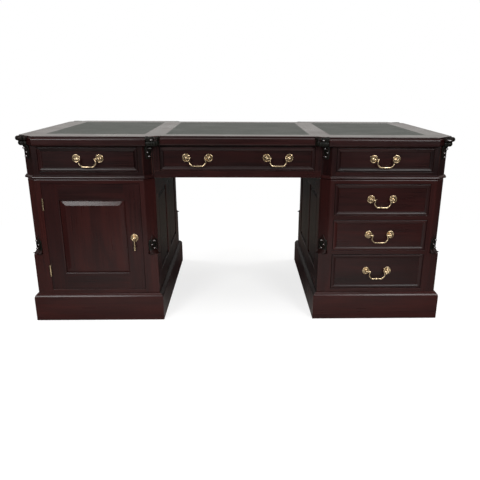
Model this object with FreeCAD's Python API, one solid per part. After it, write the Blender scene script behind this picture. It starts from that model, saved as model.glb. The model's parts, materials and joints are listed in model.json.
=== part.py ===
import FreeCAD, Part
import math
import os

# Partners desk: two pedestals, a frieze section and a leather-lined top, the same from both sides.
# Millimetres. +X right, the front faces -Y, +Z up, origin on the floor under the desk's middle.
# The back is the front turned half a turn about Z.

# Overall
DESK_WIDTH = 1830.0
DESK_DEPTH = 915.0
DESK_HEIGHT = 809.0
KNEEHOLE_WIDTH = 708.0
BREAK_DEPTH = 32.0              # the centre stands back this far from the pedestal sections

# Writing top
TOP_THICKNESS = 38.0
TOP_OVERHANG = 25.5             # top edge beyond the body, all round
TOP_CANT = 80.0                 # outer corners cut off by this much along each side
LIPPING_WIDTH = 24.0            # solid edge moulding round the board
LIPPING_LOWER_ROUND = 7.0       # radius of its lower arris
LIPPING_LOWER_FACE = 24.0       # where its upright face ends and the thumb moulding starts
LIPPING_STEP_HEIGHT = 32.0      # where the quirk under the top bead starts
LIPPING_STEP = 7.5              # depth of that quirk
TOP_BEAD_PROJECTION = 2.0       # top bead beyond the bottom of the quirk
LEATHER_THICKNESS = 1.5
LEATHER_END_BORDER = 106.0
LEATHER_LONG_BORDER = 115.0
CENTRE_LEATHER_WIDTH = 612.0
CROSS_BAND_WIDTH = 88.0

# Carcass boards
POST_SIZE = 60.0
OUTER_POST_WIDTH = 63.5         # posts at the desk's ends, seen from the front
CORNER_CANT = 40.0              # canted corners of posts
FRAME_BOARD = 20.0
LINING_BOARD = 18.0
DUST_BOARD = 12.0
FLOOR_CLEARANCE = 3.0           # posts end above the floor, the plinth stands on it

# Pedestals
PEDESTAL_TOP_RAIL = 21.0
PEDESTAL_SILL = 141.5           # bottom of the door and drawer openings
DRAWER_RAIL = 18.0
BOTTOM_DRAWER_EXTRA = 22.0      # the lowest drawer is deeper than the other two
BOTTOM_RAIL_START = 60.0
PEDESTAL_TOP_ROUND = 8.0        # its rounded top edge leaves a shadow line under the waist moulding
SIDE_PANEL_BOTTOM = 200.0
SIDE_TOP_RAIL = 87.0
SIDE_END_STILE = 60.0
SIDE_CENTRE_STILE = 100.0
SIDE_PANEL_EDGE = 7.0
SIDE_PANEL_SUNK = 7.0
SIDE_PANEL_BEVEL = 22.0
SIDE_PANEL_RAISE = 5.0
SHELF_THICKNESS = 15.0
SHELF_CLEARANCE = 1.0
SHELF_SETBACK = 70.0            # shelf edge behind the opening's inner face
BATTEN_SIZE = 20.0

# Plinth
PLINTH_THICKNESS = 17.0
PLINTH_FACE_HEIGHT = 104.0
PLINTH_HEIGHT = 125.0
PLINTH_TOP_EDGE = 4.0

# Frieze and waist moulding
FRIEZE_HEIGHT = 136.0           # from the pedestals to the underside of the top
FRIEZE_SILL_RAIL = 29.0
FRIEZE_TOP_RAIL = 6.0
CENTRE_STILE = 25.0
WAIST_HEIGHT = 14.0
WAIST_PROJECTION = 9.0
WAIST_NOSE = 3.0                # radius of its lower edge
WAIST_FILLET = 4.0
WAIST_FILLET_HEIGHT = 1.5

# Corner carvings
EAR_CENTRE_LOBE = 20.0
EAR_STAND = 15.0                # middle of the centre petal in front of the cant
EAR_SIDE_LOBE = 11.0
EAR_SIDE_SPACING = 16.0
EAR_SIDE_STAND = 7.0
EAR_LOWER_HEIGHT = 19.0
EAR_LOWER_SHARE = 0.7           # lower tier of petals against the upper one
INNER_EAR_SHARE = 0.52          # ears beside the kneehole against the outer ones, in plan
PETAL_END_SHARE = 0.45          # of a petal's radius, cut off round its ends
CORBEL_HEIGHT = 57.0
CORBEL_WIDTH = 34.0
CORBEL_FOOT_WIDTH = 24.5
CORBEL_FACE_SHARE = 0.6         # flat front face against the width
CORBEL_TOP_DEPTH = 13.0
CORBEL_FOOT_DEPTH = 4.0
CORBEL_BEAD = 6.0
CORBEL_BEAD_DROPS = (0.14, 0.46, 0.73)
STOP_FOOT_HEIGHT = 306.0
STOP_HEIGHT = 81.0
STOP_BASE = 16.0                # slope from the square foot up to the tongue
STOP_BEAD = 7.0
STOP_BEADS = 4
STOP_TONGUE_SHARE = 0.42        # foot of the tongue against the cut-off corner
STOP_TIP_SHARE = 0.2            # tip of the tongue against the cut-off corner
STOP_BEAD_SHARES = (0.2, 0.05)  # depths of the bead centres at the foot and the tip

# Drawers
REVEAL = 1.5                    # gap round every drawer front and door
FIELD_SUNK = 4.0                # drawer field behind the carcass face
FRONT_THICKNESS = 16.0
BEAD_WIDTH = 17.0
BEAD_NOSE = 3.5                 # width of the bead's round nose
BEAD_CREST = 6.5                # above the field
BEAD_EDGE = 4.5
BEAD_FOOT = 1.0
DRAWER_SIDE = 12.0
DRAWER_BOTTOM = 6.0
BOTTOM_RAISE = 8.0
SIDE_DROP = 6.0                 # sides lower than the front
SIDE_CLEARANCE = 1.5
RUNNER_GAP = 0.3
RUNNER_WIDTH = 12.0             # runner under the drawer side
GUIDE_HEIGHT = 35.0
DRAWER_BACK_GAP = 20.0

# Cupboard doors
DOOR_THICKNESS = 22.0
DOOR_STILE = 68.0
DOOR_TOP_RAIL = 71.0
DOOR_BOTTOM_RAIL = 78.0
DOOR_STICKING = 5.0             # rounded edge of the frame round the panel
PANEL_EDGE = 7.0
PANEL_SUNK = 8.0
PANEL_BEVEL = 24.0
PANEL_RAISE = 6.0

# Hinges
HINGE_HEIGHT = 50.0
HINGE_LEAF = 1.2
HINGE_LEAF_DEPTH = 22.0
HINGE_KNUCKLE = 3.5             # knuckle radius
HINGE_PROUD = 4.0               # pivot in front of the face
HINGE_PIN = 1.5
RUNNING_CLEARANCE = 0.05
KNUCKLE_GAP = 0.3
HINGE_FROM_END = 89.0           # hinge middles from the ends of the door's opening

# Bail handles
HANDLE_CENTRES = 96.0
ROSETTE_RADIUS = 17.0
ROSETTE_THICKNESS = 1.6
ROSETTE_RIM = 2.2
ROSETTE_BOSS = 5.5
ROSETTE_BOSS_HEIGHT = 3.0
ROSETTE_BOSS_SLOPE = 1.0
POST_NECK = 3.4
POST_PROJECTION = 20.0
POST_EYE = 5.2
BAIL_PIN = 2.2
BAIL_ROD = 3.0
BAIL_SHOULDER = 3.6
BAIL_TOP_HALF = 31.0
BAIL_WAIST_HALF = 36.5
BAIL_WAIST_DROP = 17.0
BAIL_BOTTOM_HALF = 24.0
BAIL_DROP = 33.0
BAIL_BEND = 13.0
CENTRE_HANDLE_SPREAD = 340.0    # between the two handles of the centre drawer
FRIEZE_HANDLE_RISE = 3.75       # handles sit a little above the middle of their drawers
PEDESTAL_HANDLE_RISE = 3.0

# Drop pull on the door
PULL_FROM_EDGE = 34.0
PULL_RISE = 2.0                 # above the door's middle
PULL_BOSS = 8.5
PULL_PROJECTION = 11.0
PULL_EAR = 2.2
PULL_EYE = 4.6
PULL_EYE_WIDTH = 5.0
PULL_PIN = 1.4
PULL_SIDE_GAP = 0.3
DROP_NECK = 2.6
DROP_RADIUS = 5.2
DROP_LENGTH = 57.0

# Worked out from the sizes above
BODY_X = DESK_WIDTH / 2 - TOP_OVERHANG
BODY_Y = DESK_DEPTH / 2 - TOP_OVERHANG
KNEE_X = KNEEHOLE_WIDTH / 2
CENTRE_Y = BODY_Y - BREAK_DEPTH
TOP_Z = DESK_HEIGHT - TOP_THICKNESS
PEDESTAL_HEIGHT = TOP_Z - FRIEZE_HEIGHT
TOP_INNER_X = KNEE_X - TOP_OVERHANG
OPENING_IN = KNEE_X + POST_SIZE
OPENING_OUT = BODY_X - OUTER_POST_WIDTH
CENTRE_OPENING = KNEE_X - CENTRE_STILE
POST_Y = BODY_Y - POST_SIZE
LINING_IN = KNEE_X + FRAME_BOARD
LINING_OUT = BODY_X - FRAME_BOARD
SPINE_Y = LINING_BOARD / 2
FRIEZE_SILL = PEDESTAL_HEIGHT + FRIEZE_SILL_RAIL
FRIEZE_HEAD = TOP_Z - FRIEZE_TOP_RAIL
DOOR_HEAD = PEDESTAL_HEIGHT - PEDESTAL_TOP_RAIL
DOOR_MIDDLE = (PEDESTAL_SILL + DOOR_HEAD) / 2
SHELF_HEIGHT = DOOR_MIDDLE - SHELF_THICKNESS / 2
SIDE_PANEL_TOP = PEDESTAL_HEIGHT - SIDE_TOP_RAIL
HINGE_HEIGHTS = (PEDESTAL_SILL + HINGE_FROM_END, DOOR_HEAD - HINGE_FROM_END)
FRIEZE_HANDLE_Z = (FRIEZE_SILL + FRIEZE_HEAD) / 2 + FRIEZE_HANDLE_RISE
PULL_Z = DOOR_MIDDLE + PULL_RISE
DRAWER_BACK_Y = SPINE_Y + DRAWER_BACK_GAP
STOP_TOP = STOP_FOOT_HEIGHT + STOP_HEIGHT
HINGE_X = OPENING_OUT - REVEAL / 2
HINGE_Y = BODY_Y + HINGE_PROUD
PULL_X = OPENING_IN + REVEAL + PULL_FROM_EDGE

Z_AXIS = FreeCAD.Vector(0, 0, 1)
X_AXIS = FreeCAD.Vector(1, 0, 0)
ORIGIN = FreeCAD.Vector(0, 0, 0)


def point(x, y, z=0.0):
    return FreeCAD.Vector(x, y, z)


def box(x0, x1, y0, y1, z0, z1):
    return Part.makeBox(x1 - x0, y1 - y0, z1 - z0, point(x0, y0, z0))


def prism(corners, z0, z1):
    """Upright solid on a polygon of (x, y) corners."""
    wire = Part.makePolygon([point(x, y, z0) for x, y in corners + corners[:1]])
    return Part.Face(wire).extrude(point(0, 0, z1 - z0))


def turned(shape):
    """The same piece on the other side of the desk: half a turn about Z."""
    other = shape.copy()
    other.rotate(ORIGIN, Z_AXIS, 180)
    return other


def mirrored(shape):
    return shape.mirror(ORIGIN, X_AXIS)


def both_sides(shapes):
    return shapes + [turned(shape) for shape in shapes]


def four_corners(shapes):
    return both_sides(shapes + [mirrored(shape) for shape in shapes])


def section_face(start, moves):
    """Closed flat face in the XZ plane; a move is a point or, for an arc, a (middle, end) pair."""
    edges = []
    here = point(start[0], 0, start[1])
    first = here
    for move in moves:
        if isinstance(move[0], tuple):
            middle, end = [point(x, 0, z) for x, z in move]
            edges.append(Part.Arc(here, middle, end).toShape())
        else:
            end = point(move[0], 0, move[1])
            edges.append(Part.makeLine(here, end))
        here = end
    edges.append(Part.makeLine(here, first))
    return Part.Face(Part.Wire(edges))


def thumb_arc(face, z, step, rise):
    """Middle and end of a convex arc that leaves an upright face and ends a step back and a rise up."""
    radius = (step ** 2 + rise ** 2) / (2 * step)
    half = math.atan2(rise, radius - step) / 2
    middle = (face - radius + radius * math.cos(half), z + radius * math.sin(half))
    return middle, (face - step, z + rise)


def turned_on_lathe(start, moves):
    """Solid of revolution about Z from an outline of (radius, height) points."""
    return section_face(start, moves).revolve(ORIGIN, Z_AXIS, 360)


def stood_up(shape, x, face, z):
    """Takes a piece made lying flat, its top side up, and stands it on a face that looks to -Y."""
    piece = shape.copy()
    piece.rotate(ORIGIN, X_AXIS, 90)
    piece.translate(point(x, face, z))
    return piece


def run_directions(path, closed):
    count = len(path) if closed else len(path) - 1
    runs = []
    for i in range(count):
        start, end = path[i], path[(i + 1) % len(path)]
        length = math.hypot(end[0] - start[0], end[1] - start[1])
        runs.append(((end[0] - start[0]) / length, (end[1] - start[1]) / length))
    return runs


def mitre_steps(path, closed):
    """For each corner, the (x, y) step that keeps both of its runs one unit further out."""
    runs = run_directions(path, closed)
    steps = []
    for i in range(len(path)):
        before = runs[i - 1] if closed or i > 0 else runs[0]
        after = runs[i % len(runs)] if closed or i < len(runs) else runs[-1]
        first, second = (before[1], -before[0]), (after[1], -after[0])
        share = 1 + first[0] * second[0] + first[1] * second[1]
        steps.append(((first[0] + second[0]) / share, (first[1] + second[1]) / share))
    return steps


def offset_path(path, distance):
    """Closed path moved outwards by a distance, with sharp corners."""
    steps = mitre_steps(path, True)
    return [(x + sx * distance, y + sy * distance) for (x, y), (sx, sy) in zip(path, steps)]


def mitred_strips(path, closed, section):
    """One solid per straight run: the section, (outwards, up) from the path, mitred at the corners."""
    spread = section.BoundBox
    inner, outer = spread.XMin - 1, spread.XMax + 1
    reach = 3 * max(abs(inner), abs(outer))
    steps = mitre_steps(path, closed)
    strips = []
    for i, (dx, dy) in enumerate(run_directions(path, closed)):
        j = (i + 1) % len(path)
        (x0, y0), (x1, y1) = path[i], path[j]
        (sx, sy), (ex, ey) = steps[i], steps[j]
        length = math.hypot(x1 - x0, y1 - y0)
        bar = section.extrude(point(0, length + 2 * reach))
        place = FreeCAD.Matrix(dy, dx, 0, x0 - dx * reach, -dx, dy, 0, y0 - dy * reach, 0, 0, 1, 0)
        bar.Placement = FreeCAD.Placement(place)
        plan = [(x0 + sx * inner, y0 + sy * inner), (x0 + sx * outer, y0 + sy * outer),
                (x1 + ex * outer, y1 + ey * outer), (x1 + ex * inner, y1 + ey * inner)]
        strips.append(bar.common(prism(plan, spread.ZMin - 1, spread.ZMax + 1)).Solids[0])
    return strips


def canted_box(x0, x1, y0, y1, z0, z1, cant):
    """Box with all four upright edges cut off at 45 degrees."""
    corners = [(x0 + cant, y0), (x1 - cant, y0), (x1, y0 + cant), (x1, y1 - cant),
               (x1 - cant, y1), (x0 + cant, y1), (x0, y1 - cant), (x0, y0 + cant)]
    return prism(corners, z0, z1)


def raised_panel(width, height, edge, bevel, rise):
    """Flat panel with a bevelled border, lying with its middle at the origin and its back at z 0."""
    slab = box(-width / 2, width / 2, -height / 2, height / 2, 0, edge)
    levels = []
    for inset, level in ((0, edge), (bevel, edge + rise)):
        x, y = width / 2 - inset, height / 2 - inset
        levels.append(Part.makePolygon([point(a * x, b * y, level) for a, b in
                                        ((-1, -1), (1, -1), (1, 1), (-1, 1), (-1, -1))]))
    return slab.fuse(Part.makeLoft(levels, True, True)).removeSplitter()


# Writing top

def top_outline():
    """Outline of the whole top, counter-clockwise from above."""
    x, y = DESK_WIDTH / 2, DESK_DEPTH / 2
    side = [(TOP_INNER_X, -y + BREAK_DEPTH), (TOP_INNER_X + BREAK_DEPTH, -y), (x - TOP_CANT, -y),
            (x, -y + TOP_CANT)]
    other = [(px, -py) for px, py in reversed(side)]
    right = side + other
    return right + [(-px, -py) for px, py in right]


def leather_places():
    """Left and right edges of the three leather panels."""
    middle = CENTRE_LEATHER_WIDTH / 2
    inner = middle + CROSS_BAND_WIDTH
    outer = DESK_WIDTH / 2 - LEATHER_END_BORDER
    return [(-outer, -inner), (-middle, middle), (inner, outer)]


def leather_insets():
    y = DESK_DEPTH / 2 - LEATHER_LONG_BORDER
    return [box(x0, x1, -y, y, DESK_HEIGHT - LEATHER_THICKNESS, DESK_HEIGHT) for x0, x1 in leather_places()]


def edge_section():
    """Edge moulding: rounded foot, upright face, thumb moulding, quirk and a bead level with the top."""
    face, crown, foot = LIPPING_WIDTH, LIPPING_WIDTH - LIPPING_STEP, LIPPING_LOWER_ROUND
    bead = crown + TOP_BEAD_PROJECTION
    slant = foot * (1 - math.sqrt(0.5))
    quirk = LIPPING_STEP_HEIGHT + (TOP_THICKNESS - LIPPING_STEP_HEIGHT) / 4
    thumb = thumb_arc(face, LIPPING_LOWER_FACE, LIPPING_STEP, LIPPING_STEP_HEIGHT - LIPPING_LOWER_FACE)
    bead_middle = (bead, (quirk + TOP_THICKNESS) / 2)
    section = section_face((0, 0), [(face - foot, 0), ((face - slant, slant), (face, foot)),
                                    (face, LIPPING_LOWER_FACE), thumb, (crown, quirk),
                                    (bead_middle, (crown, TOP_THICKNESS)), (0, TOP_THICKNESS)])
    section.translate(point(0, 0, TOP_Z))
    return section


def writing_top():
    board_outline = offset_path(top_outline(), -LIPPING_WIDTH)
    board = prism(board_outline, TOP_Z, DESK_HEIGHT)
    for leather in leather_insets():
        board = board.cut(leather)
    return [board] + mitred_strips(board_outline, True, edge_section())


# Frieze section

def frieze_post(x0, x1, outer):
    """Front corner post of the frieze, canted on its outer or its kneehole side."""
    post = box(x0, x1, -BODY_Y, -POST_Y, PEDESTAL_HEIGHT, TOP_Z)
    depth = CORNER_CANT if outer else min(CORNER_CANT, BREAK_DEPTH)
    corner_x, inward = (x1, -1) if outer else (x0, 1)
    near = corner_x + inward * CORNER_CANT
    far = near - inward * depth
    wedge = [(near, -BODY_Y), (far, -BODY_Y + depth), (corner_x, -BODY_Y + depth),
             (corner_x - inward, -BODY_Y + depth), (corner_x - inward, -BODY_Y - 1), (near, -BODY_Y - 1)]
    return post.cut(prism(wedge, PEDESTAL_HEIGHT - 1, TOP_Z + 1))


def frieze_frame():
    z0, z1 = PEDESTAL_HEIGHT, TOP_Z
    sill_y = CENTRE_Y - POST_SIZE
    corner = [frieze_post(OPENING_OUT, BODY_X, True), frieze_post(KNEE_X, OPENING_IN, False),
              box(OPENING_IN, OPENING_OUT, -BODY_Y, -POST_Y, z0, FRIEZE_SILL),
              box(OPENING_IN, OPENING_OUT, -BODY_Y, -POST_Y, FRIEZE_HEAD, z1),
              box(CENTRE_OPENING, KNEE_X, -CENTRE_Y, -sill_y, FRIEZE_SILL, z1),
              box(LINING_IN, LINING_OUT, -POST_Y, -SPINE_Y, z0, z0 + DUST_BOARD)]
    middle = [box(-KNEE_X, KNEE_X, -CENTRE_Y, -sill_y, z0, FRIEZE_SILL),
              box(-CENTRE_OPENING, CENTRE_OPENING, -CENTRE_Y, -sill_y, FRIEZE_HEAD, z1),
              box(-KNEE_X, KNEE_X, -sill_y, -SPINE_Y, z0, z0 + DUST_BOARD)]
    ends = [box(LINING_OUT, BODY_X, -POST_Y, POST_Y, z0, z1),
            box(KNEE_X, LINING_IN, -POST_Y, POST_Y, z0, z1),
            box(LINING_IN, LINING_OUT, -SPINE_Y, SPINE_Y, z0, z1)]
    spine = box(-KNEE_X, KNEE_X, -SPINE_Y, SPINE_Y, z0, z1)
    return four_corners(corner) + both_sides(middle) + ends + [turned(end) for end in ends] + [spine]


def waist_path():
    """Round one pedestal section, from its front kneehole corner to the back one."""
    y = BODY_Y
    inner = (KNEE_X + CORNER_CANT - BREAK_DEPTH, -CENTRE_Y)
    front = [inner, (KNEE_X + CORNER_CANT, -y), (BODY_X - CORNER_CANT, -y), (BODY_X, -y + CORNER_CANT)]
    return front + [(px, -py) for px, py in reversed(front)]


def waist_moulding():
    """Thumb moulding on a flat underside, with a small fillet on top."""
    face, nose = WAIST_PROJECTION, WAIST_NOSE
    slant = nose * (1 - math.sqrt(0.5))
    thumb = thumb_arc(face, nose, face - WAIST_FILLET, WAIST_HEIGHT - WAIST_FILLET_HEIGHT - nose)
    section = section_face((0, 0), [(face - nose, 0), ((face - slant, slant), (face, nose)), thumb,
                                    (WAIST_FILLET, WAIST_HEIGHT), (0, WAIST_HEIGHT)])
    section.translate(point(0, 0, PEDESTAL_HEIGHT))
    return both_sides(mitred_strips(waist_path(), False, section))


# Carvings, each made facing -Y with its back on y 0, then turned onto a canted corner

def onto_cant(shape, x, y, outer):
    piece = shape.copy()
    piece.rotate(ORIGIN, Z_AXIS, 45 if outer else -45)
    piece.translate(point(x, y))
    return piece


def keep_in_front(shape):
    """Cuts off what lies behind the carving's back."""
    room = shape.BoundBox
    return shape.cut(box(room.XMin - 1, room.XMax + 1, 0, room.YMax + 1, room.ZMin - 1, room.ZMax + 1))


def lobe(x, stand, radius, z0, z1):
    """Upright petal with a rounded top and bottom, its middle standing in front of the carving's back."""
    bulge = min(radius, (z1 - z0) / 2)
    petal = Part.makeCylinder(radius, z1 - z0, point(x, -stand, z0))
    rims = [edge for edge in petal.Edges if isinstance(edge.Curve, Part.Circle)]
    return petal.makeChamfer(bulge * PETAL_END_SHARE, rims)


def ear(share):
    """Two tiers of petals that stand out from the canted corner of the top."""
    split = TOP_Z + EAR_LOWER_HEIGHT
    petals = []
    for scale, z0, z1 in ((share, split, DESK_HEIGHT), (share * EAR_LOWER_SHARE, TOP_Z, split)):
        petals.append(lobe(0, EAR_STAND * scale, EAR_CENTRE_LOBE * scale, z0, z1))
        for x in (-EAR_SIDE_SPACING * scale, EAR_SIDE_SPACING * scale):
            petals.append(lobe(x, EAR_SIDE_STAND * scale, EAR_SIDE_LOBE * scale, z0, z1))
    return keep_in_front(petals[0].multiFuse(petals[1:]))


def corbel():
    """Tapered bracket with three beads on it, hung under the top."""
    top = (CORBEL_WIDTH / 2, CORBEL_TOP_DEPTH, TOP_Z)
    foot = (CORBEL_FOOT_WIDTH / 2, CORBEL_FOOT_DEPTH, TOP_Z - CORBEL_HEIGHT)
    levels = []
    for width, depth, z in (top, foot):
        face = width * CORBEL_FACE_SHARE
        levels.append(Part.makePolygon([point(-width, 0, z), point(-face, -depth, z), point(face, -depth, z),
                                        point(width, 0, z), point(-width, 0, z)]))
    bracket = Part.makeLoft(levels, True, True)
    taper = (CORBEL_TOP_DEPTH - CORBEL_FOOT_DEPTH) / CORBEL_HEIGHT
    beads = []
    for drop in CORBEL_BEAD_DROPS:
        down = drop * CORBEL_HEIGHT
        beads.append(Part.makeSphere(CORBEL_BEAD, point(0, -CORBEL_TOP_DEPTH + taper * down, TOP_Z - down)))
    return keep_in_front(bracket.multiFuse(beads))


def corner_stop():
    """Carved stop on the canted corner of a post: a slope from the square foot, a tongue and its beads."""
    cant_half = CORNER_CANT / math.sqrt(2)
    z0, z1 = STOP_FOOT_HEIGHT, STOP_TOP
    levels = []
    for share, z in ((1, z0), (STOP_TONGUE_SHARE, z0 + STOP_BASE), (STOP_TIP_SHARE, z1)):
        depth = cant_half * share
        levels.append(Part.makePolygon([point(-depth, 0, z), point(0, -depth, z), point(depth, 0, z),
                                        point(-depth, 0, z)]))
    tongue = Part.makeLoft(levels, True, True)
    beads = []
    foot_share, tip_share = STOP_BEAD_SHARES
    for i in range(STOP_BEADS):
        rise = (i + 0.5) / STOP_BEADS
        depth = cant_half * (foot_share * (1 - rise) + tip_share * rise)
        height = z0 + STOP_BASE + rise * (STOP_HEIGHT - STOP_BASE)
        beads.append(Part.makeSphere(STOP_BEAD, point(0, -depth, height)))
    return keep_in_front(tongue.multiFuse(beads))


def top_ears():
    y = DESK_DEPTH / 2
    outer = onto_cant(ear(1), DESK_WIDTH / 2 - TOP_CANT / 2, -y + TOP_CANT / 2, True)
    inner = onto_cant(ear(INNER_EAR_SHARE), TOP_INNER_X + BREAK_DEPTH / 2, -y + BREAK_DEPTH / 2, False)
    return four_corners([outer, inner])


def frieze_corbels():
    inner_shift = CORNER_CANT - BREAK_DEPTH / 2
    outer = onto_cant(corbel(), BODY_X - CORNER_CANT / 2, -BODY_Y + CORNER_CANT / 2, True)
    inner = onto_cant(corbel(), KNEE_X + inner_shift, -BODY_Y + BREAK_DEPTH / 2, False)
    return four_corners([outer, inner])


def corner_stops():
    outer = onto_cant(corner_stop(), BODY_X - CORNER_CANT / 2, -BODY_Y + CORNER_CANT / 2, True)
    inner = onto_cant(corner_stop(), KNEE_X + CORNER_CANT / 2, -BODY_Y + CORNER_CANT / 2, False)
    return four_corners([outer, inner])


# Pedestals: written for the right one, whose front holds the drawers and whose back holds the door

def leaf_mortise(x0, x1, hinge_z):
    """Room for one hinge leaf at the back of the right pedestal."""
    half = HINGE_HEIGHT / 2
    return box(x0, x1, BODY_Y - HINGE_LEAF_DEPTH, BODY_Y, hinge_z - half, hinge_z + half)


def pedestal_body():
    """Room that a whole pedestal fills above its square feet: canted corners and a rounded top edge."""
    body = canted_box(KNEE_X, BODY_X, -BODY_Y, BODY_Y, STOP_FOOT_HEIGHT, PEDESTAL_HEIGHT, CORNER_CANT)
    rim = [edge for edge in body.Edges if edge.BoundBox.ZMin > (STOP_FOOT_HEIGHT + PEDESTAL_HEIGHT) / 2]
    return body.makeFillet(PEDESTAL_TOP_ROUND, rim)


def pedestal_posts():
    square = pedestal_body()
    foot = box(KNEE_X, BODY_X, -BODY_Y, BODY_Y, FLOOR_CLEARANCE, STOP_FOOT_HEIGHT)
    posts = []
    for x0, x1 in ((KNEE_X, OPENING_IN), (OPENING_OUT, BODY_X)):
        for y0, y1 in ((-BODY_Y, -POST_Y), (POST_Y, BODY_Y)):
            room = box(x0, x1, y0, y1, 0, PEDESTAL_HEIGHT)
            post = square.common(room).fuse(foot.common(room)).removeSplitter()
            if x1 == BODY_X and y1 == BODY_Y:
                for hinge_z in HINGE_HEIGHTS:
                    post = post.cut(leaf_mortise(OPENING_OUT, OPENING_OUT + HINGE_LEAF, hinge_z))
            posts.append(post)
    return posts


def pedestal_drawer_openings():
    """(bottom, top) of the three openings, lowest first."""
    height = (DOOR_HEAD - PEDESTAL_SILL - 2 * DRAWER_RAIL - BOTTOM_DRAWER_EXTRA) / 3
    bottom = PEDESTAL_SILL
    openings = []
    for opening_height in (height + BOTTOM_DRAWER_EXTRA, height, height):
        openings.append((bottom, bottom + opening_height))
        bottom += opening_height + DRAWER_RAIL
    return openings


def pedestal_rails():
    drawer_rails = [box(OPENING_IN, OPENING_OUT, -BODY_Y, -POST_Y, top, top + DRAWER_RAIL)
                    for bottom, top in pedestal_drawer_openings()[:2]]
    for y0, y1 in ((-BODY_Y, -POST_Y), (POST_Y, BODY_Y)):
        top_rail = box(OPENING_IN, OPENING_OUT, y0, y1, DOOR_HEAD, PEDESTAL_HEIGHT)
        drawer_rails.append(top_rail.common(pedestal_body()))
        drawer_rails.append(box(OPENING_IN, OPENING_OUT, y0, y1, BOTTOM_RAIL_START, PEDESTAL_SILL))
    return drawer_rails


def side_frame(x0, x1):
    """Rails and stiles of one pedestal side, between its two posts."""
    half = SIDE_CENTRE_STILE / 2
    inner = POST_Y - SIDE_END_STILE
    top_rail = box(x0, x1, -POST_Y, POST_Y, SIDE_PANEL_TOP, PEDESTAL_HEIGHT).common(pedestal_body())
    members = [top_rail, box(x0, x1, -POST_Y, POST_Y, BOTTOM_RAIL_START, SIDE_PANEL_BOTTOM)]
    for y0, y1 in ((-POST_Y, -inner), (-half, half), (inner, POST_Y)):
        members.append(box(x0, x1, y0, y1, SIDE_PANEL_BOTTOM, SIDE_PANEL_TOP))
    return members


def pedestal_frame():
    return (pedestal_posts() + pedestal_rails() + side_frame(KNEE_X, LINING_IN)
            + side_frame(LINING_OUT, BODY_X))


def side_panels():
    """Raised panels in the sides of the right pedestal."""
    width = POST_Y - SIDE_END_STILE - SIDE_CENTRE_STILE / 2
    height = SIDE_PANEL_TOP - SIDE_PANEL_BOTTOM
    panel = raised_panel(width, height, SIDE_PANEL_EDGE, SIDE_PANEL_BEVEL, SIDE_PANEL_RAISE)
    panel.rotate(ORIGIN, X_AXIS, 90)
    back_x = BODY_X - SIDE_PANEL_SUNK - SIDE_PANEL_EDGE
    panels = []
    for side_y in (-1, 1):
        y = side_y * (SIDE_CENTRE_STILE + width) / 2
        for turn, x in ((90, back_x), (-90, KNEE_X + BODY_X - back_x)):
            piece = panel.copy()
            piece.rotate(ORIGIN, Z_AXIS, turn)
            piece.translate(point(x, y, SIDE_PANEL_BOTTOM + height / 2))
            panels.append(piece)
    return panels


def pedestal_linings():
    floor = box(LINING_IN, LINING_OUT, -POST_Y, POST_Y, PEDESTAL_SILL - LINING_BOARD, PEDESTAL_SILL)
    roof = box(LINING_IN, LINING_OUT, -POST_Y, POST_Y, PEDESTAL_HEIGHT - DUST_BOARD, PEDESTAL_HEIGHT)
    partition = box(LINING_IN, LINING_OUT, -SPINE_Y, SPINE_Y, PEDESTAL_SILL, PEDESTAL_HEIGHT - DUST_BOARD)
    return [floor, roof, partition]


def cupboard_shelf():
    """Loose shelf in the back of the right pedestal and the two battens under it."""
    gap = SHELF_CLEARANCE
    y0, y1 = SPINE_Y + gap, POST_Y - SHELF_SETBACK
    shelf = box(LINING_IN + gap, LINING_OUT - gap, y0, y1, SHELF_HEIGHT, SHELF_HEIGHT + SHELF_THICKNESS)
    battens = [box(x0, x1, SPINE_Y, y1, SHELF_HEIGHT - BATTEN_SIZE, SHELF_HEIGHT)
               for x0, x1 in ((LINING_IN, LINING_IN + BATTEN_SIZE), (LINING_OUT - BATTEN_SIZE, LINING_OUT))]
    return [shelf] + battens


def runner_pair(left, right, left_wall, right_wall, front, rail_bottom, rail_top):
    """Runners under a drawer's sides and the guides beside them, from a rail back to the spine."""
    pieces = []
    for inner, width, wall in ((left, RUNNER_WIDTH, left_wall), (right, -RUNNER_WIDTH, right_wall)):
        x0, x1 = sorted((wall, inner + width))
        if rail_top > rail_bottom:
            pieces.append(box(x0, x1, front, -SPINE_Y, rail_bottom, rail_top))
        x0, x1 = sorted((wall, inner))
        pieces.append(box(x0, x1, front, -SPINE_Y, rail_top, rail_top + GUIDE_HEIGHT))
    return pieces


def drawer_runners():
    """All runners and guides of the front's drawers."""
    pieces = []
    base = PEDESTAL_HEIGHT + DUST_BOARD
    side = [OPENING_IN, OPENING_OUT, LINING_IN, LINING_OUT]
    pieces += runner_pair(*side, -POST_Y, base, FRIEZE_SILL)
    pieces += [mirrored(piece) for piece in pieces]
    pieces += runner_pair(-CENTRE_OPENING, CENTRE_OPENING, -KNEE_X, KNEE_X, -CENTRE_Y + POST_SIZE,
                          base, FRIEZE_SILL)
    rail_bottom = PEDESTAL_SILL
    for bottom, top in pedestal_drawer_openings():
        pieces += runner_pair(*side, -POST_Y, rail_bottom, bottom)
        rail_bottom = top
    return pieces


def plinth():
    """Mitred boards round the foot of the right pedestal."""
    path = [(KNEE_X, -BODY_Y), (BODY_X, -BODY_Y), (BODY_X, BODY_Y), (KNEE_X, BODY_Y)]
    face, step = PLINTH_THICKNESS, PLINTH_THICKNESS - PLINTH_TOP_EDGE
    thumb = thumb_arc(face, PLINTH_FACE_HEIGHT, step, PLINTH_HEIGHT - PLINTH_FACE_HEIGHT)
    section = section_face((0, 0), [(face, 0), (face, PLINTH_FACE_HEIGHT), thumb, (0, PLINTH_HEIGHT)])
    return mitred_strips(path, True, section)


# Drawers of the front

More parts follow.
